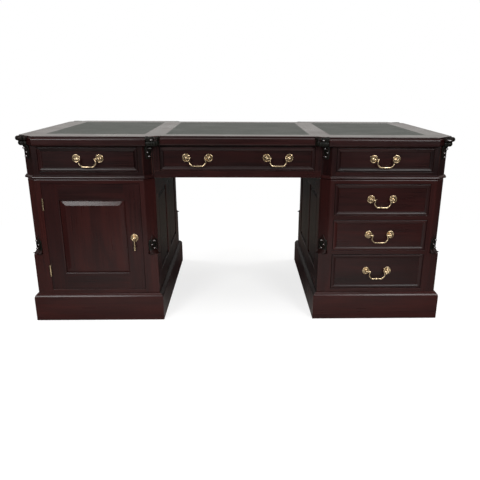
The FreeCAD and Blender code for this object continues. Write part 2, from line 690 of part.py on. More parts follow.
def drawer_places():
    """Name, left, right, bottom, top, carcass face, handle height and centres of each front drawer."""
    side_middle = (OPENING_IN + OPENING_OUT) / 2
    spread = CENTRE_HANDLE_SPREAD / 2
    places = [
        ("frieze_left", -OPENING_OUT, -OPENING_IN, FRIEZE_SILL, FRIEZE_HEAD, -BODY_Y, FRIEZE_HANDLE_Z,
         {"": -side_middle}),
        ("frieze_centre", -CENTRE_OPENING, CENTRE_OPENING, FRIEZE_SILL, FRIEZE_HEAD, -CENTRE_Y,
         FRIEZE_HANDLE_Z, {"_left": -spread, "_right": spread}),
        ("frieze_right", OPENING_IN, OPENING_OUT, FRIEZE_SILL, FRIEZE_HEAD, -BODY_Y, FRIEZE_HANDLE_Z,
         {"": side_middle})]
    for level, (bottom, top) in zip(("bottom", "middle", "top"), pedestal_drawer_openings()):
        middle = (bottom + top) / 2 + PEDESTAL_HANDLE_RISE
        places.append(("pedestal_" + level, OPENING_IN, OPENING_OUT, bottom, top, -BODY_Y, middle,
                       {"": side_middle}))
    return places


def bead_section():
    """Edge moulding of a drawer front, inwards from its edge: a round nose, then a thumb to the field."""
    (nose_z, nose_x), _ = thumb_arc(BEAD_CREST, -BEAD_NOSE, BEAD_CREST - BEAD_EDGE, BEAD_NOSE)
    (thumb_z, thumb_x), _ = thumb_arc(BEAD_CREST, BEAD_NOSE, BEAD_CREST - BEAD_FOOT, BEAD_WIDTH - BEAD_NOSE)
    return section_face((0, 0), [(-BEAD_WIDTH, 0), (-BEAD_WIDTH, BEAD_FOOT),
                                 ((-thumb_x, thumb_z), (-BEAD_NOSE, BEAD_CREST)),
                                 ((nose_x, nose_z), (0, BEAD_EDGE))])


def drawer(left, right, bottom, top, face):
    """Front with its edge moulding, two sides, back and bottom of one drawer."""
    x0, x1 = left + REVEAL, right - REVEAL
    z0, z1 = bottom + REVEAL, top - REVEAL
    field = face + FIELD_SUNK
    behind = field + FRONT_THICKNESS
    rear = -DRAWER_BACK_Y
    front = box(x0, x1, field, behind, z0, z1)
    outline = [(x0, z0), (x1, z0), (x1, z1), (x0, z1)]
    beads = [stood_up(strip, 0, field, 0) for strip in mitred_strips(outline, True, bead_section())]
    low, high = bottom + RUNNER_GAP, z1 - SIDE_DROP
    left_side = left + SIDE_CLEARANCE
    right_side = right - SIDE_CLEARANCE
    sides = [box(left_side, left_side + DRAWER_SIDE, behind, rear, low, high),
             box(right_side - DRAWER_SIDE, right_side, behind, rear, low, high)]
    inner_left, inner_right = left_side + DRAWER_SIDE, right_side - DRAWER_SIDE
    back = box(inner_left, inner_right, rear - DRAWER_SIDE, rear, low, high)
    floor = box(inner_left, inner_right, behind, rear - DRAWER_SIDE, low + BOTTOM_RAISE,
                low + BOTTOM_RAISE + DRAWER_BOTTOM)
    return [front] + beads + sides + [back, floor]


def rosette():
    """Dished round plate with its post and the cross-drilled eye, lying flat."""
    rim, middle = ROSETTE_RADIUS - ROSETTE_RIM, POST_PROJECTION
    plate = turned_on_lathe((0, 0), [(ROSETTE_RADIUS, 0), (ROSETTE_RADIUS, ROSETTE_THICKNESS),
                                     ((rim, ROSETTE_THICKNESS + ROSETTE_RIM),
                                      (rim - ROSETTE_RIM, ROSETTE_THICKNESS)),
                                     (ROSETTE_BOSS + ROSETTE_BOSS_SLOPE, ROSETTE_THICKNESS),
                                     (ROSETTE_BOSS, ROSETTE_BOSS_HEIGHT),
                                     (POST_NECK, ROSETTE_BOSS_HEIGHT + ROSETTE_BOSS_SLOPE),
                                     (POST_NECK, middle), (0, middle)])
    eye = Part.makeSphere(POST_EYE, point(0, 0, middle))
    bore_start = point(-2 * POST_EYE, 0, middle)
    bore = Part.makeCylinder(BAIL_PIN + RUNNING_CLEARANCE, 4 * POST_EYE, bore_start, X_AXIS)
    return plate.fuse(eye).cut(bore)


def bent_wire(points, radius):
    """Straight runs joined by tangent arcs of one radius."""
    edges = []
    here = points[0]
    for before, corner, after in zip(points, points[1:], points[2:]):
        back = (before - corner).normalize()
        ahead = (after - corner).normalize()
        half = back.getAngle(ahead) / 2
        tangent = radius / math.tan(half)
        middle = (back + ahead).normalize() * (radius / math.sin(half) - radius)
        start, end = corner + back * tangent, corner + ahead * tangent
        edges.append(Part.makeLine(here, start))
        edges.append(Part.Arc(start, corner + middle, end).toShape())
        here = end
    edges.append(Part.makeLine(here, points[-1]))
    return Part.Wire(edges)


def bail():
    """Swan-neck bail hanging from the origin line, made upright in the XZ plane."""
    half = [point(BAIL_TOP_HALF, 0, 0), point(BAIL_WAIST_HALF, 0, -BAIL_WAIST_DROP),
            point(BAIL_BOTTOM_HALF, 0, -BAIL_DROP)]
    other = [point(-p.x, 0, p.z) for p in reversed(half)]
    path = bent_wire(half + other, BAIL_BEND)
    start = (half[1] - half[0]).normalize()
    ring = Part.Wire(Part.makeCircle(BAIL_ROD, half[0], start))
    pieces = [path.makePipeShell([ring], True, False)]
    pin_length = HANDLE_CENTRES / 2 - BAIL_TOP_HALF + POST_EYE / 2
    for side in (-1, 1):
        end = point(side * BAIL_TOP_HALF, 0, 0)
        pieces.append(Part.makeSphere(BAIL_SHOULDER, end))
        pieces.append(Part.makeCylinder(BAIL_PIN, pin_length, end, X_AXIS * side))
    return pieces[0].multiFuse(pieces[1:])


def drawer_rosettes(face, z, centres):
    return [stood_up(rosette(), x + side * HANDLE_CENTRES / 2, face + FIELD_SUNK, z)
            for x in centres for side in (-1, 1)]


def drawer_bail(face, x, z):
    piece = bail()
    piece.translate(point(x, face + FIELD_SUNK - POST_PROJECTION, z))
    return piece


# Door of the left pedestal's front; the hinges are on its outer, left edge

def door_edges():
    """Left, right, bottom and top of the front door."""
    return -OPENING_OUT + REVEAL, -OPENING_IN - REVEAL, PEDESTAL_SILL + REVEAL, DOOR_HEAD - REVEAL


def door_panel_edges():
    """Left, right, bottom and top of the front door's panel."""
    x0, x1, z0, z1 = door_edges()
    return x0 + DOOR_STILE, x1 - DOOR_STILE, z0 + DOOR_BOTTOM_RAIL, z1 - DOOR_TOP_RAIL


def door_sticking():
    """What the rounded edge round the panel takes off the door frame, mitred at the corners."""
    x0, x1, z0, z1 = door_panel_edges()
    size, spare = DOOR_STICKING, 1
    middle = size * (1 - math.sqrt(0.5))
    section = section_face((-spare, -size), [(0, -size), ((middle, -middle), (size, 0)), (size, spare),
                                             (-spare, spare)])
    strips = mitred_strips([(x0, z0), (x1, z0), (x1, z1), (x0, z1)], True, section)
    return [stood_up(strip, 0, -BODY_Y, 0) for strip in strips]


def door_frame():
    x0, x1, z0, z1 = door_edges()
    y0, y1 = -BODY_Y, -BODY_Y + DOOR_THICKNESS
    hinge_stile = box(x0, x0 + DOOR_STILE, y0, y1, z0, z1)
    for hinge_z in HINGE_HEIGHTS:
        hinge_stile = hinge_stile.cut(turned(leaf_mortise(-x0 - HINGE_LEAF, -x0, hinge_z)))
    members = [hinge_stile, box(x1 - DOOR_STILE, x1, y0, y1, z0, z1),
               box(x0 + DOOR_STILE, x1 - DOOR_STILE, y0, y1, z0, z0 + DOOR_BOTTOM_RAIL),
               box(x0 + DOOR_STILE, x1 - DOOR_STILE, y0, y1, z1 - DOOR_TOP_RAIL, z1)]
    return [member.cut(door_sticking()) for member in members]


def door_panel():
    x0, x1, z0, z1 = door_panel_edges()
    panel = raised_panel(x1 - x0, z1 - z0, PANEL_EDGE, PANEL_BEVEL, PANEL_RAISE)
    return [stood_up(panel, (x0 + x1) / 2, -BODY_Y + PANEL_SUNK + PANEL_EDGE, (z0 + z1) / 2)]


def knuckle(z0, z1):
    return Part.makeCylinder(HINGE_KNUCKLE, z1 - z0, point(HINGE_X, HINGE_Y, z0))


def hinge_parts(hinge_z):
    """Fixed leaf with pin, and moving leaf, of one hinge at the back of the right pedestal."""
    half, third = HINGE_HEIGHT / 2, HINGE_HEIGHT / 6
    low, high = hinge_z - half, hinge_z + half
    mid_low, mid_high = hinge_z - third, hinge_z + third
    pin = Part.makeCylinder(HINGE_PIN, HINGE_HEIGHT, point(HINGE_X, HINGE_Y, low))
    fixed_x = OPENING_OUT
    fixed = leaf_mortise(fixed_x, fixed_x + HINGE_LEAF, hinge_z)
    gap = KNUCKLE_GAP
    for z0, z1 in ((low, mid_low - gap), (mid_high + gap, high)):
        fixed = fixed.fuse(knuckle(z0, z1)).fuse(box(fixed_x, fixed_x + HINGE_LEAF, BODY_Y, HINGE_Y, z0, z1))
    fixed = fixed.fuse(pin).removeSplitter()
    moving_x = OPENING_OUT - REVEAL
    moving = leaf_mortise(moving_x - HINGE_LEAF, moving_x, hinge_z)
    web = box(moving_x - HINGE_LEAF, moving_x, BODY_Y, HINGE_Y, mid_low, mid_high)
    bore = Part.makeCylinder(HINGE_PIN + RUNNING_CLEARANCE, HINGE_HEIGHT, point(HINGE_X, HINGE_Y, low))
    moving = moving.fuse(knuckle(mid_low, mid_high)).fuse(web).cut(bore).removeSplitter()
    return fixed, moving


def pull_plate():
    """Round plate of the drop pull with two ears and their cross pin, lying flat."""
    rim = ROSETTE_RADIUS - ROSETTE_RIM
    plate = turned_on_lathe((0, 0), [(ROSETTE_RADIUS, 0), (ROSETTE_RADIUS, ROSETTE_THICKNESS),
                                     ((rim, ROSETTE_THICKNESS + ROSETTE_RIM),
                                      (rim - ROSETTE_RIM, ROSETTE_THICKNESS)),
                                     (PULL_BOSS + ROSETTE_BOSS_SLOPE, ROSETTE_THICKNESS),
                                     (PULL_BOSS, ROSETTE_BOSS_HEIGHT), (0, ROSETTE_BOSS_HEIGHT)])
    inner = PULL_EYE_WIDTH / 2 + PULL_SIDE_GAP
    pieces = [Part.makeCylinder(PULL_PIN, 2 * inner, point(-inner, 0, PULL_PROJECTION), X_AXIS)]
    for side in (-1, 1):
        x0 = inner if side > 0 else -inner - PULL_EAR
        pieces.append(box(x0, x0 + PULL_EAR, -PULL_EYE, PULL_EYE, 0, PULL_PROJECTION))
        pieces.append(Part.makeCylinder(PULL_EYE, PULL_EAR, point(x0, 0, PULL_PROJECTION), X_AXIS))
    return plate.multiFuse(pieces).removeSplitter()


def drop():
    """Teardrop pendant with its eye, hanging from the origin in the XZ plane."""
    tear_z = -DROP_LENGTH + DROP_RADIUS
    slant = DROP_RADIUS / math.sqrt(2)
    tip = ((slant, tear_z - slant), (DROP_RADIUS, tear_z))
    shank = turned_on_lathe((0, 0), [(0, -DROP_LENGTH), tip, (DROP_NECK, -PULL_EYE), (DROP_NECK, 0)])
    width = PULL_EYE_WIDTH
    eye = Part.makeCylinder(PULL_EYE, width, point(-width / 2, 0, 0), X_AXIS)
    bore = Part.makeCylinder(PULL_PIN + RUNNING_CLEARANCE, 2 * width, point(-width, 0, 0), X_AXIS)
    return shank.fuse(eye).cut(bore)


def door_fittings():
    """Moving hinge leaves and the pull's plate of the front door."""
    leaves = [turned(hinge_parts(hinge_z)[1]) for hinge_z in HINGE_HEIGHTS]
    return leaves + [stood_up(pull_plate(), -PULL_X, -BODY_Y, PULL_Z)]


def door_drop():
    piece = drop()
    piece.translate(point(-PULL_X, -BODY_Y - PULL_PROJECTION, PULL_Z))
    return [piece]


# Nodes

def fixed_nodes():
    right = pedestal_frame()
    return {
        "writing_top": writing_top(),
        "leather_insets": leather_insets(),
        "frieze_frame": frieze_frame(),
        "corner_brackets": top_ears() + frieze_corbels(),
        "waist_moulding": waist_moulding(),
        "pedestal_frame_right": right,
        "pedestal_frame_left": [turned(piece) for piece in right],
        "pedestal_side_panels": both_sides(side_panels()),
        "pedestal_linings": both_sides(pedestal_linings()),
        "cupboard_shelves": both_sides(cupboard_shelf()),
        "drawer_runners": both_sides(drawer_runners()),
        "corner_stops": corner_stops(),
        "plinths": both_sides(plinth()),
        "hinge_leaves_fixed": both_sides([hinge_parts(hinge_z)[0] for hinge_z in HINGE_HEIGHTS]),
    }


def front_nodes():
    """Everything that moves at the front; the back is the same, turned half a turn."""
    nodes = {}
    for name, left, right, bottom, top, face, handle_z, handles in drawer_places():
        nodes["drawer_FACE_" + name] = drawer(left, right, bottom, top, face)
        nodes["rosettes_FACE_" + name] = drawer_rosettes(face, handle_z, handles.values())
        for side, x in handles.items():
            nodes["bail_FACE_" + name + side] = [drawer_bail(face, x, handle_z)]
    nodes["door_frame_FACE"] = door_frame()
    nodes["door_panel_FACE"] = door_panel()
    nodes["door_fittings_FACE"] = door_fittings()
    nodes["drop_pull_FACE"] = door_drop()
    return nodes


def all_nodes():
    nodes = fixed_nodes()
    for name, shapes in front_nodes().items():
        nodes[name.replace("FACE", "front")] = shapes
        nodes[name.replace("FACE", "back")] = [turned(shape) for shape in shapes]
    return nodes


def main():
    os.makedirs("parts", exist_ok=True)
    for name, shapes in all_nodes().items():
        solids = [solid for shape in shapes for solid in shape.Solids]
        shape = solids[0] if len(solids) == 1 else Part.makeCompound(solids)
        shape.exportStep("parts/" + name + ".step")
        print(name, len(solids), "solids", "valid" if shape.isValid() else "NOT VALID")


if __name__ == "__main__":
    main()
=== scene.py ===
import json
import math
import random

import bmesh
import bpy
from mathutils import Matrix, Vector

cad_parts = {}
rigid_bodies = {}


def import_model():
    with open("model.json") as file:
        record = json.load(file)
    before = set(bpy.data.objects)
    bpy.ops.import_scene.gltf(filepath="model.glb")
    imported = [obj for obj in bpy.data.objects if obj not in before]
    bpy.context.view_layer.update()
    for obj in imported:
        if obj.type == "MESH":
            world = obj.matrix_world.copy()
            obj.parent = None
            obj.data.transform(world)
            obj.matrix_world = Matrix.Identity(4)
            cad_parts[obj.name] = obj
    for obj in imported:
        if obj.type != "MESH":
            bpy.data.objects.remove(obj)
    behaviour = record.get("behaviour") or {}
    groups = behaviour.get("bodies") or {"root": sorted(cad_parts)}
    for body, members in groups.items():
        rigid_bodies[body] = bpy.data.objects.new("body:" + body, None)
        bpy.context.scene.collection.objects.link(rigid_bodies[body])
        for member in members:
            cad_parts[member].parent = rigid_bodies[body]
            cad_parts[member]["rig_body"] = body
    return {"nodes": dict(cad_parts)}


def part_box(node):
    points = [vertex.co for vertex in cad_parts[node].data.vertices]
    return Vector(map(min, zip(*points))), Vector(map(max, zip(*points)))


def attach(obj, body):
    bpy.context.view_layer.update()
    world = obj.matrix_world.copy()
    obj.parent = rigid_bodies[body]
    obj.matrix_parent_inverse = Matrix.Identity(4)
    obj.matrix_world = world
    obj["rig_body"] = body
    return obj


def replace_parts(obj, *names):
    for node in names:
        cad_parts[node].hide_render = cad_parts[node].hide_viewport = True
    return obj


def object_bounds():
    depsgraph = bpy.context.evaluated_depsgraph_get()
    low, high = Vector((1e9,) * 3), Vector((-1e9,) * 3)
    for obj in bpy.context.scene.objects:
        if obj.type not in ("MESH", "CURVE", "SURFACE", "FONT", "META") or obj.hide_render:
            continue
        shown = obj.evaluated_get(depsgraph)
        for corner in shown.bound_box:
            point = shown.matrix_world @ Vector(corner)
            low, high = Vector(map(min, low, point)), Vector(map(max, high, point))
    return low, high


bl_info = {
    "name": "Partners Desk",
    "version": (1, 0, 0),
    "blender": (4, 5, 0),
    "location": "View3D > Sidebar > Desk",
    "description": "Dresses the packed partners desk in polished mahogany, green leather and brass",
    "category": "Object",
}

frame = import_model()
CAD_BOX = [list(corner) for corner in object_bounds()]

UP = Vector((0, 0, 1))
WHITE = (1.0, 1.0, 1.0, 1.0)

# Attributes that the materials read
GRAIN = "grain_position"
ARRIS = "arris"                 # 1 on a softened edge
SHADE_AND_DIRT = "hollow"               # 1 for painted shade with some dirt in hollows, 0 on clean wood, -1 on a glossier rubbed crest
PAINTED_LIGHT = "plank"                 # painted light and shade: shift of a piece's tone, darker below 0 and lighter above

# Places and sizes on the desk, in metres
CORNER_CUT = 0.040              # cut corners of the posts
EAR_CLEAR_X = 0.377             # where the mouldings along the front give way to the inner ears
EAR_CLEAR_Y = 0.447             # where the canted mouldings behind the inner ears end
EAR_ROOM = 0.030                # only mouldings this near the front or back give way
EAR_CREST = 0.0125              # leaf tips of the ears, down from the top
KNEE_FRONT_X = 0.335            # mouldings that end inside this belong to the centre part
KNEE_REACH_X = 0.37             # ledges of the plinths inside this and the next are the kneehole's
KNEE_REACH_Y = 0.40
DRAWER_FRONT = 0.05             # drawer parts with their middle this near the front are polished
GAP = 0.0015                    # round every drawer front and door

# Grain and edges of the boards
LOG_REACH = 40.0                # boards come from places in the log up to this far from its middle
CARVING_LOG = Vector((7, 3, 11))
FLAT = math.radians(0.3)        # faces that meet at less than this are one face
GRAIN_EDGE = math.radians(20)   # edges sharper than this can show which way the grain runs
SOFT_EDGE = math.radians(28)    # edges sharper than this are softened

# Painted shade on the wood, which darkens and dulls it
GAP_SHADE_REACH = 0.0011               # how far painted shade spreads from a gap
HEAD_ON = 0.95                  # faces with more than this of Y in their normal don't face a gap
BEVEL_SHADE = 0.9                # painted shade on the bevels of the side panels
BEVEL_SLOPE = (0.1, 0.9)        # how much of Y and Z such a bevel has in its normal
LEDGE_SHADE = 0.9                # painted shade on the plinths' ledges in the kneehole
LEDGE_SLOPE = 0.2               # what has more than this of Z in its normal gets that painted shade
DRAWER_SLOPE_SHADE = 0.35              # painted shade on what slopes up from a drawer's front, toning down its highlight
DRAWER_SLOPE = 0.15

# Parts of the floor: middle, and the two distances from it between which the part fades out
# The first two paint light on the mirrored floor: a pale pool before the desk, a dimmer patch behind it, dark
# elsewhere
FLOOR_BEFORE = ((0.0, -1.25, 0.0), 0.65, 1.6)
FLOOR_BEHIND = ((0.0, 1.6, 0.0), 0.6, 1.3)
FLOOR_SHADED = ((0.0, 0.0, 0.0), 1.2, 2.2)
FLOOR_HALF = 2.6                # half of the floor's side
SHADED_COLOUR = (0.40, 0.40, 0.40, 1.0)
SHADED_GLOW = 0.72

# Directions between which one part of the room gives way to the next, as shares of Y or of Z
WALL_STARTS = (0.1, 0.7)
CEILING_STARTS = (0.2, 0.7)
HORIZON = (-0.06, 0.01)


# Settings

def colour(name, description, default):
    return bpy.props.FloatVectorProperty(
        name=name, description=description, subtype="COLOR", size=3, min=0.0, max=1.0, default=default)


def length(name, description, default):
    return bpy.props.FloatProperty(
        name=name, description=description, unit="LENGTH", min=0.0, default=default)


def power(name, description, default):
    return bpy.props.FloatProperty(
        name=name, description=description, unit="POWER", min=0.0, default=default)


def tilt(name, description, degrees):
    return bpy.props.FloatProperty(
        name=name, description=description, subtype="ANGLE", default=math.radians(degrees))


def share(name, description, default):
    return bpy.props.FloatProperty(
        name=name, description=description, subtype="FACTOR", min=0.0, max=1.0, default=default)


class MahoganySettings(bpy.types.PropertyGroup):
    """Show wood of the desk"""

    deep: colour("Deep", "Colour of the darkest grain", (0.0065, 0.0018, 0.0018))
    body: colour("Body", "Main colour of the stained wood", (0.0185, 0.0036, 0.0034))
    streak: colour("Streak", "Colour of the redder streaks", (0.036, 0.0062, 0.0050))
    worn: colour("Worn edge", "Colour where the stain is rubbed off the edges", (0.085, 0.026, 0.016))
    polish: share("Roughness", "Roughness of the polish", 0.30)
    coat: share("Coat", "Strength of the clear coat", 0.12)
    figure_width: length("Figure width", "Width of the broad streaks", 0.05)
    line_width: length("Grain width", "Distance between the fine grain lines", 0.0045)
    arris: length("Arris", "Width of the softened edges", 0.0009)


class LiningSettings(bpy.types.PropertyGroup):
    """Unpolished wood inside the desk"""

    body: colour("Body", "Main colour of the lining wood", (0.26, 0.13, 0.058))
    grain: colour("Grain", "Colour of its darker grain", (0.15, 0.066, 0.028))
    roughness: share("Roughness", "Roughness of the bare wood", 0.62)


class LeatherSettings(bpy.types.PropertyGroup):
    """Leather of the writing surface"""

    body: colour("Body", "Main colour of the leather", (0.014, 0.021, 0.014))
    crease: colour("Crease", "Colour in the grain's creases", (0.005, 0.008, 0.0055))
    patch: colour("Patch", "Colour of the paler patches", (0.024, 0.034, 0.024))
    roughness: share("Roughness", "Roughness of the leather", 0.46)
    grain_size: length("Grain size", "Size of the leather's pebbles", 0.0016)


class BrassSettings(bpy.types.PropertyGroup):
    """Antique brass of the fittings"""

    bright: colour("Bright", "Colour of the rubbed metal", (0.66, 0.51, 0.32))
    aged: colour("Aged", "Colour of the tarnish", (0.075, 0.050, 0.028))
    roughness: share("Roughness", "Roughness of the rubbed metal", 0.21)


class CarvingSettings(bpy.types.PropertyGroup):
    """Carved ears, corbels and stops at the desk's corners"""

    # painted shade, with some dirt, in the carvings' hollows and creases takes this colour
    shade_and_dirt_colour: colour("Stain", "Colour of the dirt in the hollows", (0.0045, 0.0044, 0.0030))
    polish: share("Roughness", "Roughness of the carving's polish", 0.17)
    hollow: length("Hollow", "Depth of the sunk tops of the ears", 0.006)
    rod: length("Rod", "Thickness of the wreaths on corbels and stops", 0.0074)
    corbel_wreath: length("Corbel wreath", "Width of the wreath on a corbel", 0.024)
    stop_wreath: length("Stop wreath", "Width of the wreath on a stop", 0.030)
    wreath_height: length("Wreath height", "Height of both kinds of wreath", 0.034)


class StudioSettings(bpy.types.PropertyGroup):
    """Camera, lights and floor"""

    camera_place: bpy.props.FloatVectorProperty(
        name="Camera", description="Where the camera stands", subtype="TRANSLATION", size=3,
        default=(0.0068, -2.8103, 1.0318))
    yaw: tilt("Yaw", "Camera's turn to the right", 1.85)
    pitch: tilt("Pitch", "Camera's tilt down", 19.47)
    roll: tilt("Roll", "Camera's roll", 0.39)
    lens: bpy.props.FloatProperty(
        name="Lens", description="Focal length in millimetres", min=10.0, default=42.26)
    shift: bpy.props.FloatVectorProperty(
        name="Shift", description="Shift of the picture, in widths", size=2, default=(-0.0356, 0.0798))
    side_power: power("Side lights", "Power of each of the two soft boxes in front", 70.0)
    end_power: power("End lights", "Power of each of the two soft boxes at the desk's ends", 60.0)
    top_power: power("Top light", "Power of the soft box overhead", 36.0)
    room: share("Room", "Brightness of the room in front", 0.06)
    wall: share("Wall", "Brightness of the wall behind", 0.62)
    wall_shine: share("Wall shine", "Brightness of the wall behind where it is mirrored", 0.86)
    tint: colour("Tint", "Tint of the room's light", (1.0, 0.985, 0.945))
    ceiling: share("Ceiling", "Brightness of the ceiling", 0.30)
    ground: share("Ground", "Brightness below the horizon, beyond the floor", 0.04)
    # The floor's mirrored colours are painted light: a pale pool before the desk, a dim patch behind it, dark
    # beyond
    floor: colour("Floor", "Colour of the floor before the desk, as mirrored", (0.62, 0.61, 0.59))
    floor_behind: colour(
        "Floor behind", "Colour of the floor behind the desk, as mirrored", (0.085, 0.081, 0.070))
    floor_far: colour("Far floor", "Colour of the rest of the floor, as mirrored", (0.05, 0.05, 0.05))


# Shader maths

class Shade:
    """A socket in a material, or a sum worked out from such sockets."""

    def __init__(self, finish, socket):
        self.finish = finish
        self.socket = socket

    def maths(self, operation, first, second):
        return self.finish.node("ShaderNodeMath", {"operation": operation}, {0: first, 1: second})

    def __add__(self, other):
        return self.maths("ADD", self, other)

    __radd__ = __add__

    def __sub__(self, other):
        return self.maths("SUBTRACT", self, other)

    def __rsub__(self, other):
        return self.maths("SUBTRACT", other, self)

    def __mul__(self, other):
        return self.maths("MULTIPLY", self, other)

    __rmul__ = __mul__


class Finish:
    """The node tree of one material, or of the world."""

    def __init__(self, owner):
        owner.use_nodes = True
        self.tree = owner.node_tree
        self.tree.nodes.clear()

    def node(self, kind, settings=None, sockets=None, output=0):
        """Adds a node with its settings and inputs, and gives one of its outputs."""
        made = self.tree.nodes.new(kind)
        for name, value in (settings or {}).items():
            if name == "stops":
                ramp = made.color_ramp
                while len(ramp.elements) < len(value):
                    ramp.elements.new(0.5)
                for element, (position, stop) in zip(ramp.elements, value):
                    element.position = position
                    element.color = (*stop, 1.0)
            else:
                setattr(made, name, value)
        for name, value in (sockets or {}).items():
            if isinstance(value, Shade):
                self.tree.links.new(value.socket, made.inputs[name])
            else:
                made.inputs[name].default_value = value
        return Shade(self, made.outputs[output])

    def mix(self, factor, first, second):
        """Colour between two colours."""
        first, second = [c if isinstance(c, Shade) else (*c, 1.0) for c in (first, second)]
        return self.node("ShaderNodeMix", {"data_type": "RGBA"}, {0: factor, 6: first, 7: second}, 2)

    def scaled(self, vector, factors):
        return self.node("ShaderNodeVectorMath", {"operation": "MULTIPLY"}, {0: vector, 1: factors})

    def attribute(self, name, output):
        return self.node("ShaderNodeAttribute", {"attribute_name": name}, {}, output)

    def place(self):
        """Position on the piece, which stays with it when the piece moves."""
        return self.node("ShaderNodeTexCoord", {}, {}, "Object")

    def noise(self, vector, scale, detail=3.0, distortion=0.0):
        return self.node("ShaderNodeTexNoise", {}, {
            "Vector": vector, "Scale": scale, "Detail": detail, "Distortion": distortion})

    def ramp(self, factor, stops):
        return self.node("ShaderNodeValToRGB", {"stops": stops}, {"Fac": factor})

    def steps(self, value, low, high):
        """0 below low, 1 above high, smooth between."""
        return self.node("ShaderNodeMapRange", {"interpolation_type": "SMOOTHSTEP"}, {
            "Value": value, "From Min": low, "From Max": high})

    def bump(self, height, distance, strength):
        return self.node("ShaderNodeBump", {}, {"Height": height, "Distance": distance, "Strength": strength})

    def ray(self, kind):
        """1 for rays of one kind, 0 for the others."""
        return self.node("ShaderNodeLightPath", {}, {}, "Is " + kind + " Ray")

    def seen_directly(self):
        """1 for rays from the camera and for those passed on through a material."""
        camera = self.ray("Camera")
        return camera.maths("MAXIMUM", camera, self.ray("Transmission"))

    def glow(self, strength):
        return self.node("ShaderNodeEmission", {}, {"Color": WHITE, "Strength": strength})

    def surface(self, sockets):
        shader = self.node("ShaderNodeBsdfPrincipled", {}, sockets)
        self.node_output(shader)

    def node_output(self, shader, kind="ShaderNodeOutputMaterial"):
        made = self.tree.nodes.new(kind)
        self.tree.links.new(shader.socket, made.inputs["Surface"])


def material(name, build, settings):
    """A material by name, built when it is first asked for."""
    found = bpy.data.materials.get(name)
    if found is None:
        found = bpy.data.materials.new(name)
        build(Finish(found), settings)
    return found


def stained_wood(finish, settings):
    """Colour of the stained wood, and the maps of its fine lines, pores and clouds."""
    grain = finish.attribute(GRAIN, "Vector")
    broad = finish.noise(finish.scaled(grain, (1.0, 1.0, 0.12)), 1 / settings.figure_width, 4.0, 0.8)
    lines = finish.noise(finish.scaled(grain, (1.0, 1.0, 0.025)), 1 / settings.line_width, 3.0, 0.3)
    pores = finish.noise(finish.scaled(grain, (1.0, 1.0, 0.05)), 5 / settings.line_width, 2.0)
    board = finish.noise(grain, 0.35, 0.0)
    cloud = finish.noise(grain, 6.0, 2.0)
    # the piece's painted light and shade shifts the tone
    tone = broad * 0.5 + lines * 0.3 + board * 0.35 + cloud * 0.1 - 0.125 + finish.attribute(PAINTED_LIGHT, "Fac")
    stained = finish.ramp(tone, [
        (0.30, tuple(settings.deep)), (0.52, tuple(settings.body)), (0.74, tuple(settings.streak))])
    pored = finish.mix(finish.steps(pores, 0.62, 0.74) * 0.5, stained, tuple(settings.deep))
    edge = finish.attribute(ARRIS, "Fac") * finish.steps(cloud + lines * 0.3, 0.55, 0.8) * 0.55
    return finish.mix(edge, pored, tuple(settings.worn)), lines, pores, cloud


def mahogany_finish(finish, settings):
    wood, lines, pores, cloud = stained_wood(finish, settings)
    painted_shade = finish.attribute(SHADE_AND_DIRT, "Fac")
    finish.surface({
        # painted shade darkens the wood towards the deep colour, roughens it and takes off its coat
        "Base Color": finish.mix(painted_shade, wood, tuple(settings.deep)),
        "Roughness": settings.polish + (lines - 0.5) * 0.10 + (cloud - 0.5) * 0.14 + painted_shade * 0.4,
        "Coat Weight": settings.coat * (1 - painted_shade),
        "Coat Roughness": 0.16,
        "Specular IOR Level": 0.22,
        "Normal": finish.bump(lines * 0.5 + pores * 0.5, 0.0004, 0.10),
    })


def carved_finish(finish, scene):
    """Stained wood with shade, and some dirt, painted dark in its hollows and creases, and glossier rubbed
    crests.
    """
    wood, lines, pores, cloud = stained_wood(finish, scene.desk_mahogany)
    hollow = finish.attribute(SHADE_AND_DIRT, "Fac")
    finish.surface({
        # painted shade with some dirt darkens towards this colour; rubbed crests keep the wood's colour and
        # get the coat
        "Base Color": finish.mix(finish.steps(hollow, -0.5, 0.9), wood, tuple(scene.desk_carving.shade_and_dirt_colour)),
        "Roughness": scene.desk_carving.polish + (cloud - 0.5) * 0.10 + finish.steps(hollow, -1, 0) * 0.25,
        "Coat Weight": 1 - finish.steps(hollow, -1, 0),
        "Coat Roughness": 0.14,
        "Specular IOR Level": 0.15,
        "Normal": finish.bump(lines * 0.5 + pores * 0.5, 0.0004, 0.10),
    })


def lining_finish(finish, settings):
    place = finish.scaled(finish.place(), (1.0, 0.06, 1.0))
    lines = finish.noise(place, 170.0, 3.0, 0.4)
    broad = finish.noise(place, 22.0, 2.0, 0.6)
    finish.surface({
        "Base Color": finish.mix(broad * 0.6 + lines * 0.4, tuple(settings.grain), tuple(settings.body)),
        "Roughness": settings.roughness + (lines - 0.5) * 0.2,
        "Specular IOR Level": 0.3,
        "Normal": finish.bump(lines, 0.0004, 0.25),
    })


def leather_finish(finish, settings):
    place = finish.place()
    pebbles = finish.node("ShaderNodeTexVoronoi", {"feature": "SMOOTH_F1"}, {
        "Vector": place, "Scale": 1 / settings.grain_size, "Smoothness": 0.6})
    patches = finish.noise(place, 9.0, 3.0)
    fine = finish.noise(place, 900.0, 2.0)
    grain = finish.steps(pebbles + (fine - 0.5) * 0.25, 0.25, 0.85)
    body = finish.mix(grain * 0.8, tuple(settings.body), tuple(settings.crease))
    finish.surface({
        "Base Color": finish.mix(finish.steps(patches, 0.35, 0.75) * 0.35, body, tuple(settings.patch)),
        "Roughness": settings.roughness + (patches - 0.5) * 0.16 + grain * 0.08,
        "Specular IOR Level": 0.5,
        "Normal": finish.bump(1 - grain, 0.0003, 0.35),
    })


